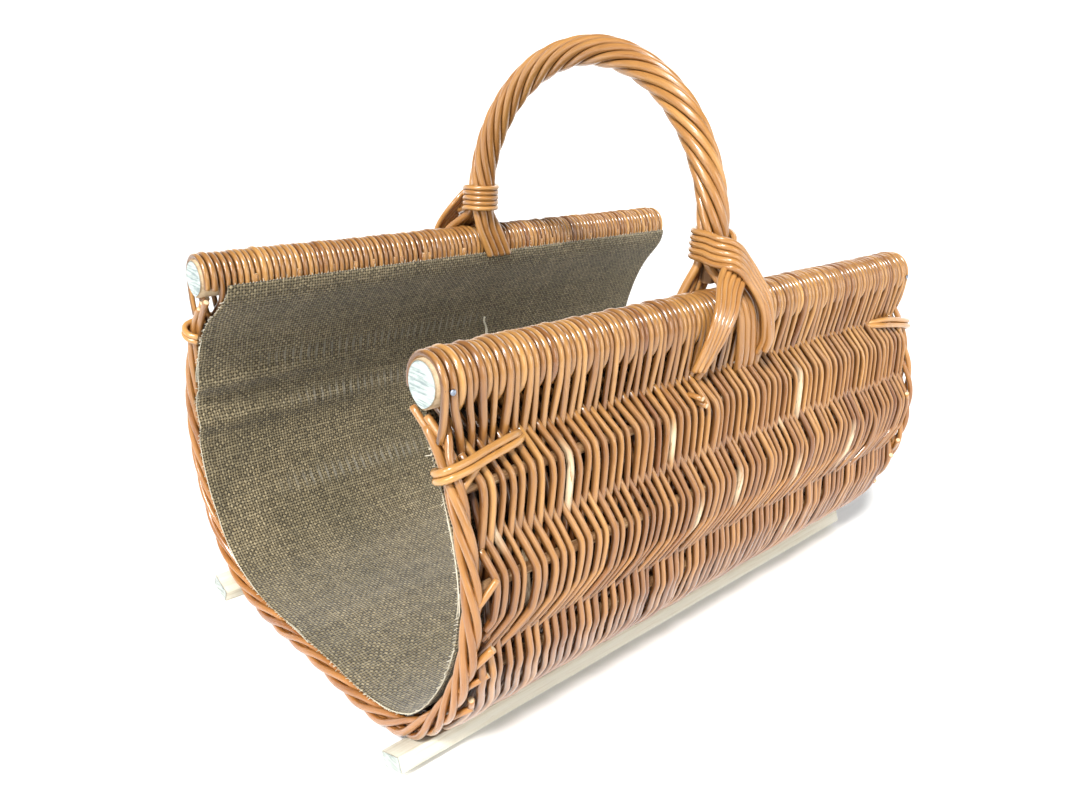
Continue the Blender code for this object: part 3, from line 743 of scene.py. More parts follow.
def border_strand(end, strand, phase):
    """A strand that twists round a line along the U at one end, its two ends apart below the rails."""
    distance = np.linspace(0.006, TOTAL - 0.006, 420)
    place, out = wall_at(distance)
    turn = 2 * np.pi * (distance / 0.112 + strand / 4) + phase
    drift = smooth(rng.normal(0, 1, 420), 16) * 0.0010
    x = end * (BORDER_X + 0.0031 * np.cos(turn) + drift)
    w = 0.0055 * np.sin(turn) * (1 if end < 0 else -1) + smooth(rng.normal(0, 1, 420), 12) * 0.0012
    return np.column_stack([x, place + out * w[:, None]])


def build_borders(materials):
    for end, name in ((-1, "left"), (1, "right")):
        bundle = Bundle()
        strands = [border_strand(end, strand, 0.55) for strand in range(4)]
        for where, sign in ((0, -1), (-1, 1)):
            outs = [abs(strand[where][1]) for strand in strands]
            order = np.argsort(outs)
            for rank, number in enumerate(order):
                x, y, z = BORDER_TOPS[rank]
                top = np.array([end * (x + rng.normal(0, 0.0004)), sign * y, z + rng.normal(0, 0.0006)])
                joint = strands[number][where]
                halfway = (top + joint) / 2 + np.array([0, sign * 0.0012, 0])
                tip = np.vstack([top, halfway])
                body = strands[number]
                strands[number] = np.vstack([tip, body]) if where == 0 else np.vstack([body, tip[::-1]])
        for line in strands:
            line = smooth_ends(resample(line, 0.0012), 3.0)
            line = resample(line, 0.0035)
            bundle.add(line, rng.uniform(0.00235, 0.0028), tone=float(rng.uniform(0.05, 0.6)),
                       frame_axis=(1.0, 0, 0))
        add_short_ends(bundle, end)
        piece = bundle.build(f"end_border_rods_{name}", materials)
        put(piece, "willow", f"end_border_{name}_inner", f"end_border_{name}_outer")


def add_short_ends(bundle, end):
    """Cut rods that lean into the border from the wall, with their pale cut ends outward."""
    for share, lean, reach in ((0.012, 0.0155, 0.016), (0.078, 0.013, 0.018), (0.121, 0.012, 0.019),
                               (0.142, 0.013, 0.014),
                               (0.176, 0.012, 0.018)):
        for side in (-1, 1):
            tip_s = share + rng.uniform(-0.004, 0.004)
            foot_s = tip_s + reach
            points = []
            for blend in np.linspace(0, 1, 7):
                at = tip_s + (foot_s - tip_s) * blend
                x = end * (BORDER_X - lean + (lean + 0.001) * blend)
                points.append(beside_wall(x, at if side < 0 else TOTAL - at, 0.0085 - 0.0060 * blend))
            bundle.add(resample(points, 0.003), rng.uniform(0.0022, 0.0027),
                       tone=float(rng.uniform(0.3, 0.8)), dome=0.05)


def build_lacing(materials):
    for side, side_name in ((-1, "front"), (1, "back")):
        for end, end_name in ((-1, "left"), (1, "right")):
            bundle = Bundle()
            for level in (-1, 1):
                outer, inner = 0.0100, -0.0098
                tip = BORDER_X + 0.0092
                tuck = HALF_LENGTH - 0.0565 - level * 0.0012 + rng.uniform(-0.001, 0.001)
                path = [(tuck - 0.0060, outer - 0.0100, 0.0030 + level * 0.0010),
                        (tuck - 0.0008, outer - 0.0036, 0.0034 + level * 0.0019),
                        (tuck + 0.0070, outer - 0.0008, 0.0040 + level * 0.0025),
                        (tuck + 0.0280, outer + 0.0004, 0.0072 + level * 0.0025),
                        (BORDER_X - 0.0060, outer + 0.0006, 0.0104 + level * 0.0024),
                        (BORDER_X + 0.0050, outer - 0.0010, 0.0120 + level * 0.0024),
                        (tip - 0.0006, outer - 0.0052, 0.0128 + level * 0.0024),
                        (tip, 0.0, 0.0132 + level * 0.0024),
                        (tip - 0.0012, inner + 0.0040, 0.0132 + level * 0.0024),
                        (BORDER_X + 0.0030, inner, 0.0130 + level * 0.0024)]
                points = [beside_wall(end * x, drop if side < 0 else TOTAL - drop, w) for x, w, drop in path]
                line = smooth_ends(resample(points, 0.0012), 2.4)
                bundle.add(resample(line, 0.0020), BINDER, sides=12, tone=float(rng.uniform(0.6, 0.95)))
            piece = bundle.build(f"lacing_rods_{side_name}_{end_name}", materials)
            put(piece, "willow", f"lacing_{side_name}_{end_name}")


# ---------------------------------------------------------------- handle

LEG_Y = 0.1365
HANDLE_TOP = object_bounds()[1][2]
RODS = 8
SPLIT = RAIL_Z + 0.0370
TWIST = 22
BUNDLE = (HANDLE_ROD + CLEAR) / math.cos(math.radians(20)) / (2 * math.sin(math.pi / 8))
SPRING = HANDLE_TOP - HANDLE_ROD / 2 - BUNDLE - LEG_Y    # where the legs turn into the arch


def arch(share):
    leg = SPRING - SPLIT
    total = 2 * leg + math.pi * LEG_Y
    distance = share * total
    if distance < leg:
        return np.array([0, -LEG_Y, SPLIT + distance]), np.array([0, -1.0, 0])
    if distance > total - leg:
        return np.array([0, LEG_Y, SPLIT + total - distance]), np.array([0, 1.0, 0])
    turn = (distance - leg) / LEG_Y
    outward = np.array([0, -math.cos(turn), math.sin(turn)])
    return np.array([0, 0, SPRING]) + outward * LEG_Y, outward


COLUMNS = (0.5, 1.5, 1.5, 0.5, -0.5, -1.5, -1.5, -0.5)


def leg_end(angle, radius):
    """From where a rod leaves the front leg down past the rail."""
    outer = math.cos(angle) > 0
    column = COLUMNS[round((math.degrees(angle) % 360) / 45 - 0.5)]
    reach = CLEAR + ROD + CLEAR + radius
    drop = 0.037
    if outer:
        stops = [tuple(egg(reach, turn)) for turn in (72, 50, 28, 5)]
        stops += [(RAIL_HALF + reach - 0.0004, -0.012), (RAIL_HALF + reach - 0.0014, -0.024),
                  (RAIL_HALF + reach - 0.0042, -0.038), (RAIL_HALF + reach - 0.0085, -0.049)]
        lean, fall = 0.0150, drop + 0.029
    else:
        stops = [(-egg(reach, 0)[0] + 0.0012, 0.020), (-egg(reach, 0)[0], 0.008), (-egg(reach, 0)[0], -0.006)]
        lean, fall = -0.0190, drop + 0.006
    points = [(BUNDLE * math.sin(angle), -LEG_Y - BUNDLE * math.cos(angle), SPLIT)]
    for out, rise in stops:
        x = column * 0.0078 + lean * ((drop - rise) / fall) ** 1.3
        points.append((x, -RAIL_Y - out, RAIL_Z + rise))
    return points[::-1]


def handle_painted_shade(rings):
    """Painted shade where each point lies deep between the handle's twisted rods, above the split."""
    x, y, z = rings[..., 0], rings[..., 1], rings[..., 2]
    bow = np.where(z > SPRING, np.hypot(y, z - SPRING), np.abs(y))
    reach = np.hypot(x, bow - LEG_Y)
    return np.clip((BUNDLE + 0.0013 - reach) / 0.0024, 0, 1) * (z > SPLIT) * 0.9


def build_handle(materials):
    eighth = 2 * math.pi / RODS
    for number in range(RODS):
        radius = HANDLE_ROD / 2 * rng.uniform(0.98, 1.07)
        start = eighth * (number + 0.5)
        front = leg_end(start, radius)
        middle_points = []
        for station in range(2, 178):
            share = station / 180
            centre, outward = arch(share)
            angle = start - eighth * TWIST * share
            offset = outward * math.cos(angle) + np.array([1.0, 0, 0]) * math.sin(angle)
            middle_points.append(centre + offset * BUNDLE)
        finish = -(start - eighth * TWIST)
        back = [(-x, -y, z) for x, y, z in leg_end(finish, radius)]
        path = np.vstack([np.array(front), np.array(middle_points), np.array(back[::-1])])
        path = smooth_ends(resample(path, 0.0014), 2.6)
        line = resample(path, 0.0030)
        along = np.linspace(0, 1, len(line))
        radii = radius * (1 + 0.07 * (along - 0.5) * rng.choice([-1, 1])
                          + 0.018 * smooth(rng.normal(0, 2, len(line)), 5))
        bundle = Bundle()
        # Painted shade between the twisted rods of the handle.
        bundle.add(line, radii, sides=14, tone=float(rng.uniform(0.3, 0.75)), dark=handle_painted_shade)
        piece = bundle.build(f"handle_strand_{number + 1}", materials)
        put(piece, "handle_willow", f"handle_rod_{number + 1}")


# ---------------------------------------------------------------- lashings at the handle's feet

FACE_RISES = (-0.001, 0.012, 0.022, 0.034, 0.046)
FACE_TILTS = (0, 20, 40, 38, 20)
FACE_INSETS = (0.0, 0.0022, 0.0082, 0.0150, 0.0200)


def leg_turn(angle, lift, rise):
    radius = BUNDLE + HANDLE_ROD / 2 + 0.0004 + 0.0024 + lift
    turn = math.radians(angle)
    outward = np.array([math.cos(turn), math.sin(turn), 0.0])
    return np.array([0, -LEG_Y, RAIL_Z + rise]) + outward * radius, outward


def outer_face(x, rise, layer):
    rods = RAIL_HALF + CLEAR + ROD + CLEAR + HANDLE_ROD + 0.0005
    turn = math.radians(np.interp(rise, FACE_RISES, FACE_TILTS))
    out = rods - np.interp(rise, FACE_RISES, FACE_INSETS)
    outward = np.array([0, -math.cos(turn), math.sin(turn)])
    base = np.array([x, -(RAIL_Y + out), RAIL_Z + rise])
    return base + outward * (0.0025 + layer * 0.0050), outward


def lashing_stations():
    """(point, outward, width share) of the whole lashing: tucked in at lower left, up and round
    the leg, and down across itself to lower right."""
    stations = []
    for x, rise, layer, width in ((-0.0500, -0.038, -1.9, 0.42), (-0.0470, -0.024, -0.9, 0.62),
                                  (-0.0430, -0.010, -0.25, 0.82),
                                  (-0.0365, 0.003, 0.0, 0.98), (-0.0275, 0.015, 0.0, 1.05),
                                  (-0.0165, 0.0265, 0.0, 1.0),
                                  (-0.0050, 0.0360, 0.1, 0.95)):
        stations.append((*outer_face(x, rise, layer), width))
    for angle, lift, rise, width in ((-62, 0.0012, 0.0455, 0.95), (-42, 0.0004, 0.0480, 0.97),
                                     (-20, 0, 0.0500, 1.0),
                                     (0, 0, 0.0505, 1.0), (25, 0, 0.0505, 1.0), (50, 0, 0.0505, 1.0),
                                     (75, 0, 0.0505, 1.0),
                                     (100, 0, 0.0505, 1.0), (125, 0, 0.0505, 1.0), (150, 0, 0.0508, 1.0),
                                     (175, 0.0002, 0.0510, 1.0), (198, 0.0012, 0.0510, 1.0),
                                     (218, 0.0050, 0.0495, 1.0)):
        stations.append((*leg_turn(angle, lift, rise), width))
    for x, rise, layer, width in ((-0.0085, 0.0440, 1.0, 1.0), (0.0005, 0.0350, 1.05, 1.0),
                                  (0.0080, 0.0225, 1.0, 0.88),
                                  (0.0145, 0.0090, 0.85, 0.62), (0.0200, -0.0060, 0.5, 0.40),
                                  (0.0238, -0.0190, 0.1, 0.30),
                                  (0.0255, -0.0300, -0.9, 0.26)):
        stations.append((*outer_face(x, rise, layer), width))
    return stations


def build_lashings(materials):
    stations = lashing_stations()
    points = np.array([s[0] for s in stations])
    outs = np.array([s[1] for s in stations])
    widths = np.array([s[2] for s in stations])
    full = spline(points, 420)
    arc = distances(points)
    here = np.linspace(0, arc[-1], 420)
    out = read(here, arc, outs)
    width = np.interp(here, arc, widths)
    tangent = tangents(full)
    out -= tangent * np.sum(out * tangent, axis=1)[:, None]
    out /= np.linalg.norm(out, axis=1)[:, None]
    across = np.cross(tangent, out)
    for sign, name in ((1, "front"), (-1, "back")):
        bundle = Bundle()
        for strand in range(5):
            radius = BINDER * rng.uniform(0.95, 1.06)
            lane = (strand - 2) * 0.00475
            lift = smooth(rng.normal(0, 1, 420), 14) * 0.0007
            converge = np.where(width < 0.8, (0.8 - width) * 2.6, 0.0)
            raise_by = converge * 0.0022 * (1 if strand % 2 else -0.4)
            cut_head, cut_tail = int(rng.integers(0, 16)), int(rng.integers(0, 10))
            line = full + across * (lane * width)[:, None] + out * (lift + raise_by)[:, None]
            line = line[cut_head:420 - cut_tail]
            line = smooth_ends(resample(line, 0.0012), 2.0)
            line = resample(line, 0.0022)
            line[:, 0] *= sign
            line[:, 1] *= sign
            bundle.add(line, radius, sides=10, tone=float(rng.uniform(0.45, 0.8)))
        for x, z in ((-0.0600, 0.2350), (-0.0540, 0.2285)):
            butt = [(sign * x, sign * y, z) for y in (-0.1740, -0.1800, -0.1868)]
            bundle.add(butt, 0.0021, tone=0.5, dome=0.05)
        piece = bundle.build(f"lashing_{name}", materials)
        put(piece, "handle_willow", f"binding_{name}_under", f"binding_{name}_over")


# ---------------------------------------------------------------- nails

def build_nails(material):
    """Wire nails with domed heads."""
    for side, side_name in ((-1, "front"), (1, "back")):
        for end_name in ("left", "right"):
            for kind in ("rail", "runner"):
                node = f"{kind}_nail_{side_name}_{end_name}"
                low, high = (np.array(corner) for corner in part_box(node))
                head = (low + high) / 2
                if kind == "rail":
                    head[1] = low[1] if side < 0 else high[1]
                    direction = np.array([0.0, -side, 0.0])
                    length = high[1] - low[1]
                else:
                    direction = np.array([0.0, -side * math.sin(TILT), math.cos(TILT)])
                    length = (high[2] - low[2]) / math.cos(TILT) * 0.93
                    head = head - direction * length / 2
                profile = [(0.0009, 0.0), (0.0016, 0.00012), (0.0020, 0.0004), (0.0020, 0.0008),
                           (0.0016, 0.0010),
                           (0.0008, 0.00105), (0.0008, 0.0020), (0.0008, length * 0.5),
                           (0.0008, length * 0.9), (0.00005, length)]
                verts = []
                side_axis = np.cross(direction, (1.0, 0, 0))
                other = np.cross(direction, side_axis)
                sides = 16
                for radius, reach in profile:
                    for k in range(sides):
                        turn = 2 * math.pi * k / sides
                        around = side_axis * math.cos(turn) + other * math.sin(turn)
                        verts.append(head + direction * reach + around * radius)
                faces = tube_faces(len(profile), sides)
                faces.append(tuple(range(sides))[::-1])
                faces.append(tuple(range((len(profile) - 1) * sides, len(profile) * sides)))
                piece = mesh_from(f"nail_{kind}_{side_name}_{end_name}", verts, faces, [material])
                put(piece, "steel", node)


# ---------------------------------------------------------------- lining

def build_lining(material, painted_shade_face):
    """One sheet of jute from rail to rail, lying in the trough, with soft folds and raw edges."""
    low, high = (np.array(corner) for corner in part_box("jute_lining"))
    inner = -(STICK_RADIUS + 0.0053 + 0.0012)
    across = 184
    start, stop = s_of(0.75), s_of(LAST - 0.75)
    wall_s = np.linspace(start, stop, 300)
    place, out = wall_at(wall_s)
    wall = place + out * inner
    edge_y = RAIL_Y - RAIL_HALF - ROD - 0.0008
    back = [(RAIL_Y - 0.0030, RAIL_Z - RAIL_DOWN - 0.0190), (RAIL_Y - 0.0130, RAIL_Z - RAIL_DOWN - 0.0090),
            (edge_y, RAIL_Z - RAIL_DOWN + 0.0020), (edge_y - 0.0002, RAIL_Z - 0.0035)]
    front = [(-y, z) for y, z in reversed(back)]
    profile = np.vstack([front, wall, back])
    profile = smooth_ends(resample(profile, 0.0020), 4.0)
    profile = resample(profile, 0.0032)
    rows = len(profile)
    tangent = tangents(profile)
    normal = np.stack([-tangent[:, 1], tangent[:, 0]], axis=1)
    length = distances(profile)
    xs = np.linspace(low[0] + 0.0018, high[0] + 0.0006, across)
    grid_s, grid_x = np.meshgrid(length / length[-1], xs, indexing="ij")
    drop = np.minimum(length, length[-1] - length)
    inset = 0.0150 * np.exp(-(drop / 0.028) ** 2)
    share = (xs[-1] - grid_x) / (xs[-1] - xs[0])
    grid_x = grid_x + inset[:, None] * share
    bulge = np.zeros_like(grid_s)
    for _ in range(26):
        cs, cx = rng.uniform(0.06, 0.94), rng.uniform(-0.28, 0.28)
        ws, wx = rng.uniform(0.02, 0.05), rng.uniform(0.04, 0.14)
        bulge += rng.uniform(-0.6, 1.4) * 0.001 * np.exp(-((grid_s - cs) / ws) ** 2
                                                         - ((grid_x - cx) / wx) ** 2)
    for cs, cx, ws, wx, height in ((0.868, -0.24, 0.010, 0.12, 0.0046), (0.820, -0.24, 0.011, 0.15, 0.0052),
                                   (0.72, -0.12, 0.018, 0.14, 0.0022), (0.30, 0.05, 0.02, 0.15, 0.0020),
                                   (0.60, 0.02, 0.03, 0.2, 0.0022), (0.45, -0.15, 0.03, 0.12, 0.0020)):
        bulge += height * np.exp(-((grid_s - cs) / ws) ** 2 - ((grid_x - cx) / wx) ** 2)
    hold = np.clip(np.minimum(grid_s, 1 - grid_s) / 0.05, 0, 1)
    bulge = np.clip(bulge, -0.0004, 0.0062) * hold
    wander = smooth(rng.normal(0, 1, rows), 5) * 0.0012
    verts = np.empty((rows, across, 3))
    verts[:, :, 0] = grid_x + (wander[:, None]
                               * (grid_x < 0)) * np.exp(-((grid_x - grid_x[:, :1]) / 0.01) ** 2)
    for axis in (0, 1):
        verts[:, :, 1 + axis] = profile[:, axis][:, None] + normal[:, axis][:, None] * bulge
    index = np.arange(rows * across).reshape(rows, across)
    faces = np.stack([index[:-1, :-1], index[:-1, 1:], index[1:, 1:], index[1:, :-1]], axis=-1).reshape(-1, 4)
    piece = mesh_from("jute_cloth", verts.reshape(-1, 3), faces, [material, painted_shade_face])
    layer = piece.data.uv_layers.new(name="cloth_uv")
    u = (grid_x - xs[0]).ravel()
    v = (grid_s * length[-1]).ravel()
    loops = np.empty(len(piece.data.loops), int)
    piece.data.loops.foreach_get("vertex_index", loops)
    layer.data.foreach_set("uv", np.column_stack([u[loops], v[loops]]).ravel())
    # Painted light: rows on the back wall, between the sticks, that the cloth material paints with pale
    # dashes for light let through between the rods behind.
    light_through_rows = np.zeros_like(grid_s)
    for place_t, left, right in ((10.22, -0.23, 0.06), (9.50, -0.20, 0.02), (8.52, -0.22, -0.03)):
        row = np.interp(s_of(place_t), wall_s, np.linspace(0, 1, len(wall_s))) * (stop - start) + 0.047
        along = np.clip((grid_x - left) / 0.04, 0, 1) * np.clip((right - grid_x) / 0.04, 0, 1)
        light_through_rows = np.maximum(light_through_rows, np.exp(-((grid_s * length[-1] - row) / 0.0075) ** 2) * along)
    painted_light_dashes = piece.data.attributes.new("painted_light_dashes", "FLOAT", "POINT")
    painted_light_dashes.data.foreach_set("value", light_through_rows.ravel())
    thick = piece.modifiers.new("thickness", "SOLIDIFY")
    thick.thickness = 0.0011
    thick.offset = 0.0
    # The faces made by thickening take the second material, which is painted near black as shade.
    thick.material_offset = 1
    put(piece, "jute", "jute_lining")
    return piece, verts, (xs[-1] - xs[0], length[-1])


def build_fray(verts, thread):
    """Loose thread ends along the lining's raw edges."""
    bundle = Bundle()
    rows, across = verts.shape[:2]

    def tuft(origin, inward, along, normal, reach):
        bend = rng.normal(0, 0.25) * along + rng.normal(0.1, 0.25) * normal
        points = [origin + inward * 0.001, origin - inward * reach * 0.5 + bend * reach * 0.3,
                  origin - inward * reach + bend * reach]
        line = spline(points, 5)
        bundle.add(line, np.linspace(0.00042, 0.00022, 5), sides=5,
                   tone=float(rng.uniform(0.2, 1.0)), dome=0.1)

    for column, step in ((0, 1), (across - 1, -1)):
        for row in range(2, rows - 2):
            for _ in range(2):
                row_at = row + rng.uniform(-0.5, 0.5)
                r0 = int(row_at)
                here = verts[r0, column] + (verts[min(r0 + 1, rows - 1), column]
                                            - verts[r0, column]) * (row_at - r0)
                inward = verts[row, column + 3 * step] - verts[row, column]
                inward /= np.linalg.norm(inward)
                along = verts[row + 1, column] - verts[row - 1, column]
                along /= np.linalg.norm(along)
                normal = np.cross(inward, along) * (1 if step > 0 else -1)
                tuft(here, inward, along, normal, abs(rng.normal(0.0007, 0.0008)) + 0.0004)
    for row, step in ((0, 1), (rows - 1, -1)):
        for column in range(2, across - 2):
            here = verts[row, column]
            inward = verts[row + 2 * step, column] - here
            inward /= np.linalg.norm(inward)
            along = np.array([1.0, 0, 0])
            normal = np.cross(inward, along) * step
            tuft(here, inward, along, normal, abs(rng.normal(0.0007, 0.0009)) + 0.0004)
    for column in (0, across - 1):
        for _ in range(26):
            first = int(rng.integers(3, rows - 30))
            run = verts[first:first + int(rng.integers(8, 28)), column].copy()
            run[:, 0] += smooth(rng.normal(0, 1, len(run)), 3) * 0.0009 + rng.normal(0, 0.0004)
            run[:, 1:] += smooth(rng.normal(0, 1, (len(run), 2)), 3) * 0.0006
            bundle.add(resample(run, 0.003), 0.00042, sides=5, tone=float(rng.uniform(0.4, 1.0)), dome=0.1)
    for _ in range(4):
        points = []
        for x, at in ((0.049, 0.672), (0.046, 0.680), (0.0425, 0.690), (0.0405, 0.697), (0.0345, 0.706),
                      (0.0330, 0.7105)):
            lift = -0.0125 - 0.0030 * (at - 0.672) / 0.04 + rng.normal(0, 0.0003)
            points.append(beside_wall(x + rng.normal(0, 0.0006), at, lift))
        bundle.add(spline(points, 24), np.linspace(0.0012, 0.0006, 24), sides=6,
                   tone=float(rng.uniform(0.7, 1.0)), dome=0.1)
    piece = bundle.build("jute_raw_edge", [thread, thread])
    put(piece, "jute")
    return piece


# ---------------------------------------------------------------- materials

class Nodes:
    def __init__(self, name):
        self.material = bpy.data.materials.new(name)
        self.material.use_nodes = True
        self.tree = self.material.node_tree
        self.shader = self.tree.nodes["Principled BSDF"]

    def node(self, kind, **sockets):
        made = self.tree.nodes.new(kind)
        for key, value in sockets.items():
            if hasattr(made, key):
                setattr(made, key, value)
        return made

    def link(self, output, target):
        self.tree.links.new(output, target)

    def value(self, target, source):
        if isinstance(source, (int, float)):
            target.default_value = source
        elif isinstance(source, tuple):
            opaque = len(source) == 3 and len(target.default_value) == 4
            target.default_value = (*source, 1.0) if opaque else source
        else:
            self.link(source, target)

    def uv(self, name):
        made = self.node("ShaderNodeUVMap", uv_map=name)
        return made.outputs["UV"]

    def attribute(self, name):
        made = self.node("ShaderNodeAttribute", attribute_name=name)
        return made.outputs["Fac"]

    def position(self):
        return self.node("ShaderNodeNewGeometry").outputs["Position"]

    def stretch(self, vector, scale):
        made = self.node("ShaderNodeVectorMath", operation="MULTIPLY")
        self.link(vector, made.inputs[0])
        made.inputs[1].default_value = scale
        return made.outputs["Vector"]

    def noise(self, vector, scale, detail=3.0, rough=0.55):
        made = self.node("ShaderNodeTexNoise")
        self.link(vector, made.inputs["Vector"])
        made.inputs["Scale"].default_value = scale
        made.inputs["Detail"].default_value = detail
        made.inputs["Roughness"].default_value = rough
        return made.outputs[0]

    def math(self, operation, a, b=0.0, clamp=False):
        made = self.node("ShaderNodeMath", operation=operation, use_clamp=clamp)
        self.value(made.inputs[0], a)
        self.value(made.inputs[1], b)
        return made.outputs[0]

    def mul(self, a, b, clamp=False):
        return self.math("MULTIPLY", a, b, clamp)

    def add(self, a, b):
        return self.math("ADD", a, b)

    def ramp(self, fac, stops):
        made = self.node("ShaderNodeValToRGB")
        elements = made.color_ramp.elements
        while len(elements) < len(stops):
            elements.new(0.5)
        for element, (place, colour) in zip(elements, stops):
            element.position = place
            element.color = (*colour, 1.0) if len(colour) == 3 else colour
        self.link(fac, made.inputs["Fac"])
        return made.outputs["Color"]

    def range(self, value, low, high, to_low=0.0, to_high=1.0):
        made = self.node("ShaderNodeMapRange")
        self.link(value, made.inputs["Value"])
        for key, number in (("From Min", low), ("From Max", high), ("To Min", to_low), ("To Max", to_high)):
            made.inputs[key].default_value = number
        return made.outputs["Result"]

    def mix(self, fac, a, b, blend="MIX"):
        made = self.node("ShaderNodeMix", data_type="RGBA", blend_type=blend)
        self.value(made.inputs["Factor"], fac)
        for socket, source in ((made.inputs[6], a), (made.inputs[7], b)):
            self.value(socket, source)
        return made.outputs[2]

    def bump(self, height, distance, strength=1.0):
        made = self.node("ShaderNodeBump")
        made.inputs["Distance"].default_value = distance
        made.inputs["Strength"].default_value = strength
        self.link(height, made.inputs["Height"])
        self.link(made.outputs["Normal"], self.shader.inputs["Normal"])

    def set(self, **values):
        for key, value in values.items():
            self.value(self.shader.inputs[key.replace("_", " ")], value)


def willow_material(name, light, dark, red, peel_colour=(0.72, 0.56, 0.36)):
    """Buff willow: streaks along the rod, darker specks, a worn sheen, each rod its own tone, and painted
    shade from the rods' shade attribute.
    """
    n = Nodes(name)
    uv = n.uv("rod_uv")
    tone = n.attribute("tone")
    peel = n.attribute("peel")
    broad = n.noise(n.stretch(uv, (18.0, 90.0, 1.0)), 1.0, 3.0)
    fine = n.noise(n.stretch(uv, (60.0, 1500.0, 1.0)), 1.0, 4.0, 0.6)
    mixed = n.add(n.mul(tone, 0.55), n.mul(broad, 0.55))
    colour = n.ramp(mixed,
                    ((0.22, dark), (0.52, tuple((a + b) / 2 for a, b in zip(light, dark))), (0.85, light)))
    height = n.node("ShaderNodeSeparateXYZ")
    n.link(n.position(), height.inputs[0])
    low = n.range(height.outputs["Z"], 0.26, 0.02, 0.0, 1.0)
    low = n.mul(low, 0.75, clamp=True)
    colour = n.mix(low, colour, n.mix(0.75, colour, red, "MULTIPLY"))
    streak = n.range(fine, 0.42, 0.68, 0.0, 0.35)
    colour = n.mix(streak, colour, n.mix(1.0, colour, (0.42, 0.30, 0.20), "MULTIPLY"))
    specks = n.noise(n.stretch(uv, (420.0, 700.0, 1.0)), 1.0, 2.0, 0.5)
    dots = n.range(specks, 0.70, 0.78, 0.0, 0.75)
    colour = n.mix(dots, colour, (0.07, 0.03, 0.012))
    # Painted shade: the shade attribute darkens rod sides and rods lying behind, where shade falls between
    # them.
    shade = n.mul(n.attribute("shade"), 0.92)
    colour = n.mix(shade, colour, n.mix(1.0, colour, (0.13, 0.060, 0.030), "MULTIPLY"))
    bare = n.noise(n.stretch(uv, (90.0, 420.0, 1.0)), 1.0, 3.0)
    bare = n.mul(n.range(bare, 0.30, 0.48, 0.0, 1.0), peel, clamp=True)
    colour = n.mix(bare, colour, peel_colour)
    n.set(Base_Color=colour)
    rough = n.range(broad, 0.3, 0.7, 0.24, 0.40)
    rough = n.add(rough, n.mul(bare, 0.25))
    n.set(Roughness=rough)
    relief = n.add(n.mul(fine, 0.5), n.mul(specks, 0.5))
    n.bump(relief, 0.00022, 0.7)
    n.set(Specular_IOR_Level=0.55, Coat_Weight=0.85, Coat_Roughness=0.14)
    return n.material


def cut_material():
    """A cut rod end: pale, finely mottled wood."""
    n = Nodes("cut_end")
    uv = n.uv("rod_uv")
    grain = n.noise(n.stretch(uv, (900.0, 900.0, 1.0)), 1.0, 3.0)
    colour = n.ramp(grain, ((0.3, (0.50, 0.36, 0.20)), (0.6, (0.72, 0.58, 0.38)), (0.8, (0.80, 0.70, 0.52))))
    n.set(Base_Color=colour, Roughness=0.8)
    n.bump(grain, 0.0003, 0.6)
    return n.material


def stick_material():
    n = Nodes("peeled_stick")
    uv = n.uv("rod_uv")
    broad = n.noise(n.stretch(uv, (25.0, 200.0, 1.0)), 1.0, 3.0)
    fine = n.noise(n.stretch(uv, (70.0, 1800.0, 1.0)), 1.0, 4.0)
    mixed = n.add(n.mul(broad, 0.6), n.mul(fine, 0.4))
    colour = n.ramp(mixed,
                    ((0.42, (0.17, 0.080, 0.030)), (0.56, (0.34, 0.19, 0.085)), (0.66, (0.70, 0.56, 0.36))))
    n.set(Base_Color=colour, Roughness=0.6)
    n.bump(fine, 0.0003, 0.6)
    return n.material


def board_material(name, pale, mid, dark):
    """Bare sawn softwood along X: growth lines, saw fuzz and a few darker flecks."""
    n = Nodes(name)
    place = n.position()
    rings = n.noise(n.stretch(place, (3.0, 150.0, 190.0)), 1.0, 3.0, 0.6)
    fine = n.noise(n.stretch(place, (40.0, 1400.0, 1400.0)), 1.0, 4.0, 0.65)
    saw = n.noise(n.stretch(place, (700.0, 60.0, 60.0)), 1.0, 2.0, 0.5)
    mixed = n.add(n.mul(rings, 0.62), n.mul(fine, 0.38))
    colour = n.ramp(mixed, ((0.30, dark), (0.46, mid), (0.62, pale)))
    flecks = n.noise(n.stretch(place, (120.0, 900.0, 900.0)), 1.0, 2.0, 0.5)
    colour = n.mix(n.range(flecks, 0.68, 0.76, 0.0, 0.45), colour, dark)
    n.set(Base_Color=colour)
    n.set(Roughness=n.range(fine, 0.3, 0.7, 0.62, 0.82))
    relief = n.add(n.mul(saw, 0.5), n.mul(fine, 0.5))
    n.bump(relief, 0.0004, 0.7)
    return n.material


def end_grain_material(name, pale, dark):
    """A sawn end: level saw lines, faint growth arcs and rays."""
    n = Nodes(name)
    place = n.position()
    saw = n.noise(n.stretch(place, (1.0, 60.0, 760.0)), 1.0, 3.0, 0.6)
    warp = n.noise(n.stretch(place, (1.0, 160.0, 160.0)), 1.0, 2.0)
    arcs = n.noise(n.stretch(place, (1.0, 90.0, 330.0)), 1.0, 2.0)
    mixed = n.add(n.mul(saw, 0.6), n.mul(arcs, 0.25))
    mixed = n.add(mixed, n.mul(warp, 0.15))
    colour = n.ramp(mixed,
                    ((0.40, dark), (0.50, tuple((a + 3 * b) / 4 for a, b in zip(dark, pale))), (0.60, pale)))
    n.set(Base_Color=colour, Roughness=0.85)
    n.bump(saw, 0.0009, 0.9)
    return n.material


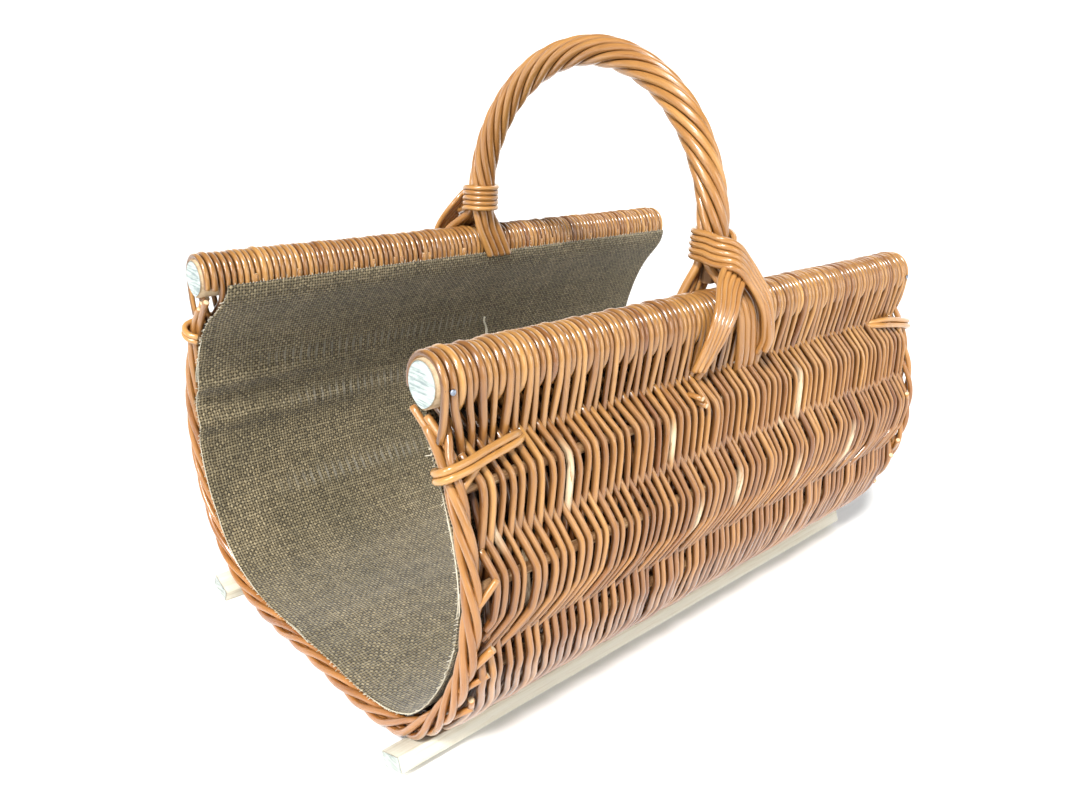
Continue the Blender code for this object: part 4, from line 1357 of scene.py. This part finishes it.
def steel_material():
    n = Nodes("nail_steel")
    place = n.position()
    stain = n.noise(n.stretch(place, (500.0, 500.0, 500.0)), 1.0, 3.0)
    colour = n.ramp(stain, ((0.35, (0.20, 0.23, 0.30)), (0.65, (0.42, 0.48, 0.58))))
    n.set(Base_Color=colour)
    n.set(Roughness=n.range(stain, 0.3, 0.7, 0.28, 0.5))
    n.set(Metallic=1.0)
    return n.material


# Spacing of the cloth's threads, along the basket and across it
WARP = 0.0025
WEFT = 0.0026


def jute_material(name, light):
    """Open plain weave: thick and thin threads over and under each other, with the gaps between them painted
    dark as shade; a light below 1 paints the face near black, as shade.
    """
    n = Nodes(name)
    uv = n.uv("cloth_uv")
    warp_noise = n.node("ShaderNodeTexNoise")
    n.link(n.stretch(uv, (60.0, 60.0, 1.0)), warp_noise.inputs["Vector"])
    warp_noise.inputs["Scale"].default_value = 1.0
    warp_noise.inputs["Detail"].default_value = 2.0
    shifted = n.node("ShaderNodeVectorMath", operation="MULTIPLY_ADD")
    n.link(warp_noise.outputs["Color"], shifted.inputs[0])
    shifted.inputs[1].default_value = (0.0034, 0.0034, 0.0)
    n.link(uv, shifted.inputs[2])
    parts = n.node("ShaderNodeSeparateXYZ")
    n.link(shifted.outputs["Vector"], parts.inputs[0])
    u = n.math("DIVIDE", parts.outputs["X"], WARP)
    v = n.math("DIVIDE", parts.outputs["Y"], WEFT)
    pi_u = n.mul(u, math.pi)
    pi_v = n.mul(v, math.pi)
    su = n.math("ABSOLUTE", n.math("SINE", pi_u))
    sv = n.math("ABSOLUTE", n.math("SINE", pi_v))
    lane_u = n.math("FLOOR", u)
    lane_v = n.math("FLOOR", v)
    parity = n.math("PINGPONG", n.add(lane_u, lane_v), 1.0)
    thick_u = n.node("ShaderNodeTexWhiteNoise", noise_dimensions="1D")
    n.link(lane_u, thick_u.inputs["W"])
    thick_v = n.node("ShaderNodeTexWhiteNoise", noise_dimensions="1D")
    n.link(n.add(lane_v, 531.0), thick_v.inputs["W"])
    warp_height = n.mul(n.math("POWER", su, 0.9), n.range(thick_u.outputs["Value"], 0, 1, 0.85, 1.06))
    weft_height = n.mul(n.math("POWER", sv, 0.9), n.range(thick_v.outputs["Value"], 0, 1, 0.85, 1.06))
    over_warp = n.mul(warp_height, n.add(0.78, n.mul(n.mul(parity, sv), 0.22)))
    flipped = n.math("SUBTRACT", 1.0, parity)
    over_weft = n.mul(weft_height, n.add(0.78, n.mul(n.mul(flipped, su), 0.22)))
    height = n.math("MAXIMUM", over_warp, over_weft)
    fibre = n.noise(n.stretch(uv, (1500.0, 1500.0, 1.0)), 1.0, 3.0, 0.6)
    broad = n.noise(n.stretch(uv, (14.0, 14.0, 1.0)), 1.0, 3.0)
    level = n.add(height, n.mul(n.math("SUBTRACT", fibre, 0.5), 0.35))
    # Colour follows thread height: the crowns keep the thread's own colour, while the thread sides and the
    # gaps are painted darker, down to near black, as painted shade in place of open holes.
    colour = n.ramp(level,
                    ((0.30, (0.018, 0.013, 0.007)), (0.46, (0.110, 0.082, 0.042)),
                     (0.68, (0.290, 0.236, 0.140)),
                            (0.95, (0.500, 0.430, 0.290))))
    cell = n.node("ShaderNodeCombineXYZ")
    n.link(lane_u, cell.inputs[0])
    n.link(lane_v, cell.inputs[1])
    patch = n.node("ShaderNodeTexWhiteNoise", noise_dimensions="2D")
    n.link(cell.outputs[0], patch.inputs["Vector"])
    thread_light = n.add(n.range(patch.outputs["Value"], 0, 1, 0.26, 0.68), n.mul(parity, 0.28))
    colour = n.mix(1.0, colour, thread_light, "MULTIPLY")
    tint = n.ramp(broad, ((0.3, (0.78, 0.78, 0.72)), (0.7, (1.12, 1.10, 1.04))))
    colour = n.mix(1.0, colour, tint, "MULTIPLY")
    # Painted light: pale dashes at the rod pitch along the marked rows, for light let through the cloth
    # between the rods behind it.
    light_dash = n.add(n.math("SINE", n.mul(parts.outputs["X"], 2 * math.pi / PITCH)), warp_noise.outputs[0])
    light_dash = n.mul(n.range(light_dash, 0.85, 1.30, 0.0, 0.62), n.attribute("painted_light_dashes"), clamp=True)
    colour = n.mix(light_dash, colour, (0.29, 0.27, 0.22))
    # Painted shade: a light below 1 paints the face near black, except near the cloth's left end; it serves
    # the cloth's face against the rods, seen through their gaps.
    inward = n.range(parts.outputs["X"], 0.010, 0.026, 0.0, 1.0)
    colour = n.mix(n.mul(inward, 1.0 - light, clamp=True), colour, (0.012, 0.009, 0.006))
    n.set(Base_Color=colour)
    level = n.add(level, n.mul(parity, 0.12))
    n.set(Roughness=0.92, Sheen_Weight=0.25, Sheen_Roughness=0.5, Specular_IOR_Level=0.2)
    n.bump(level, 0.0011, 0.85)
    return n.material


def thread_material():
    n = Nodes("jute_thread")
    uv = n.uv("rod_uv")
    fibre = n.noise(n.stretch(uv, (900.0, 4000.0, 1.0)), 1.0, 3.0)
    tone = n.attribute("tone")
    mixed = n.add(n.mul(fibre, 0.5), n.mul(tone, 0.5))
    colour = n.ramp(mixed, ((0.2, (0.30, 0.26, 0.17)), (0.8, (0.72, 0.68, 0.56))))
    n.set(Base_Color=colour, Roughness=0.9)
    n.bump(fibre, 0.0002, 0.6)
    return n.material


# ---------------------------------------------------------------- stage, light and camera

def toward(azimuth, elevation):
    """Unit vector from the basket; azimuth 0 is its front and -90 degrees its left end."""
    level = math.cos(elevation)
    return Vector((math.sin(azimuth) * level, -math.cos(azimuth) * level, math.sin(elevation)))


def build_stage():
    n = Nodes("studio_floor")
    faint = n.noise(n.stretch(n.position(), (3.0, 3.0, 3.0)), 1.0, 2.0)
    n.link(n.ramp(faint, ((0.3, (0.93, 0.93, 0.93)), (0.7, (0.95, 0.95, 0.95)))),
           n.shader.inputs["Base Color"])
    n.set(Roughness=0.9)
    section = [(0.8, 0.0), (3.0, 0.0)]
    section += [(3.0 + 1.6 * math.sin(turn), 1.6 - 1.6 * math.cos(turn))
                for turn in np.radians(np.arange(6, 91, 6))]
    section += [(4.6, 2.6)]
    sides = 72
    verts = [(0.0, 0.0, 0.0)]
    for reach, rise in section:
        for k in range(sides):
            turn = 2 * math.pi * k / sides
            verts.append((reach * math.cos(turn), reach * math.sin(turn), rise))
    faces = [(0, 1 + k, 1 + (k + 1) % sides) for k in range(sides)]
    for ring in range(len(section) - 1):
        for k in range(sides):
            low, high = 1 + ring * sides, 1 + (ring + 1) * sides
            n_k = (k + 1) % sides
            faces.append((low + k, high + k, high + n_k, low + n_k))
    floor = mesh_from("floor", verts, faces, [n.material])
    world = bpy.data.worlds.new("studio")
    bpy.context.scene.world = world
    world.use_nodes = True
    background = world.node_tree.nodes["Background"]
    background.inputs["Color"].default_value = (0.92, 0.96, 1.0, 1.0)
    background.inputs["Strength"].default_value = 0.14
    sun = bpy.data.lights.new("key", "SUN")
    sun.energy = 4.4
    sun.angle = math.radians(9)
    sun.color = (1.0, 0.98, 0.95)
    lamp = add_object("key", sun)
    lamp.rotation_euler = toward(math.radians(-60), math.radians(48)).to_track_quat("Z", "Y").to_euler()
    for name, place, size, power in (("fill", (0.1, -1.9, 0.9), 0.9, 11.0),
                                     ("rim", (1.6, 0.6, 1.8), 1.0, 10.0),
                                     ("side", (-1.7, -0.35, 0.85), 0.35, 11.0)):
        light = bpy.data.lights.new(name, "AREA")
        light.size = size
        light.energy = power
        lamp = add_object(name, light)
        lamp.location = place
        lamp.rotation_euler = (Vector(place) - Vector((0, 0, 0.15))).to_track_quat("Z", "Y").to_euler()


def build_camera():
    azimuth, elevation, roll = (math.radians(v) for v in (-44.3164, 20.8552, 2.9791))
    back = toward(azimuth, elevation)
    right = Vector((math.cos(azimuth), math.sin(azimuth), 0.0))
    up = back.cross(right)
    turned_right = right * math.cos(roll) + up * math.sin(roll)
    turned_up = -right * math.sin(roll) + up * math.cos(roll)
    camera_data = bpy.data.cameras.new("camera")
    camera_data.sensor_width = 36.0
    camera_data.lens = 29.42
    camera = add_object("camera", camera_data)
    rotation = Matrix((turned_right, turned_up, back)).transposed().to_4x4()
    camera.matrix_world = Matrix.Translation((-0.5559, -0.5290, 0.4493)) @ rotation
    bpy.context.scene.camera = camera
    bpy.context.scene.view_settings.view_transform = "Standard"


# ---------------------------------------------------------------- all together

willow = willow_material("willow_rods", (0.600, 0.315, 0.088), (0.225, 0.080, 0.019), (0.88, 0.64, 0.50))
handle_willow = willow_material("willow_handle", (0.580, 0.300, 0.086), (0.240, 0.084, 0.020),
                                (0.90, 0.68, 0.54))
cut = cut_material()
peeled = stick_material()
rail_wood = board_material("rail_wood", (0.66, 0.52, 0.34), (0.56, 0.42, 0.26), (0.40, 0.27, 0.14))
runner_wood = board_material("runner_wood", (0.72, 0.71, 0.62), (0.66, 0.63, 0.52), (0.50, 0.44, 0.31))
rail_end = end_grain_material("rail_end_grain", (0.53, 0.59, 0.57), (0.25, 0.31, 0.31))
runner_end = end_grain_material("runner_end_grain", (0.52, 0.57, 0.54), (0.28, 0.32, 0.30))
steel = steel_material()
jute = jute_material("jute_weave", 1.0)
# The cloth's face against the rods, painted near black as shade.
jute_outside_painted_shade = jute_material("jute_outside_painted_shade", 0.10)
thread = thread_material()

build_weave([willow, cut])
build_sticks([peeled, cut])
build_rails([rail_wood, rail_end])
build_runners([runner_wood, runner_end])
build_borders([willow, cut])
build_lacing([willow, cut])
build_handle([handle_willow, cut])
build_lashings([handle_willow, cut])
build_nails(steel)
cloth, cloth_verts, cloth_size = build_lining(jute, jute_outside_painted_shade)
fray = build_fray(cloth_verts, thread)
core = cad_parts["handle_core"]
for slot in core.material_slots:
    slot.material = peeled

build_stage()
build_camera()
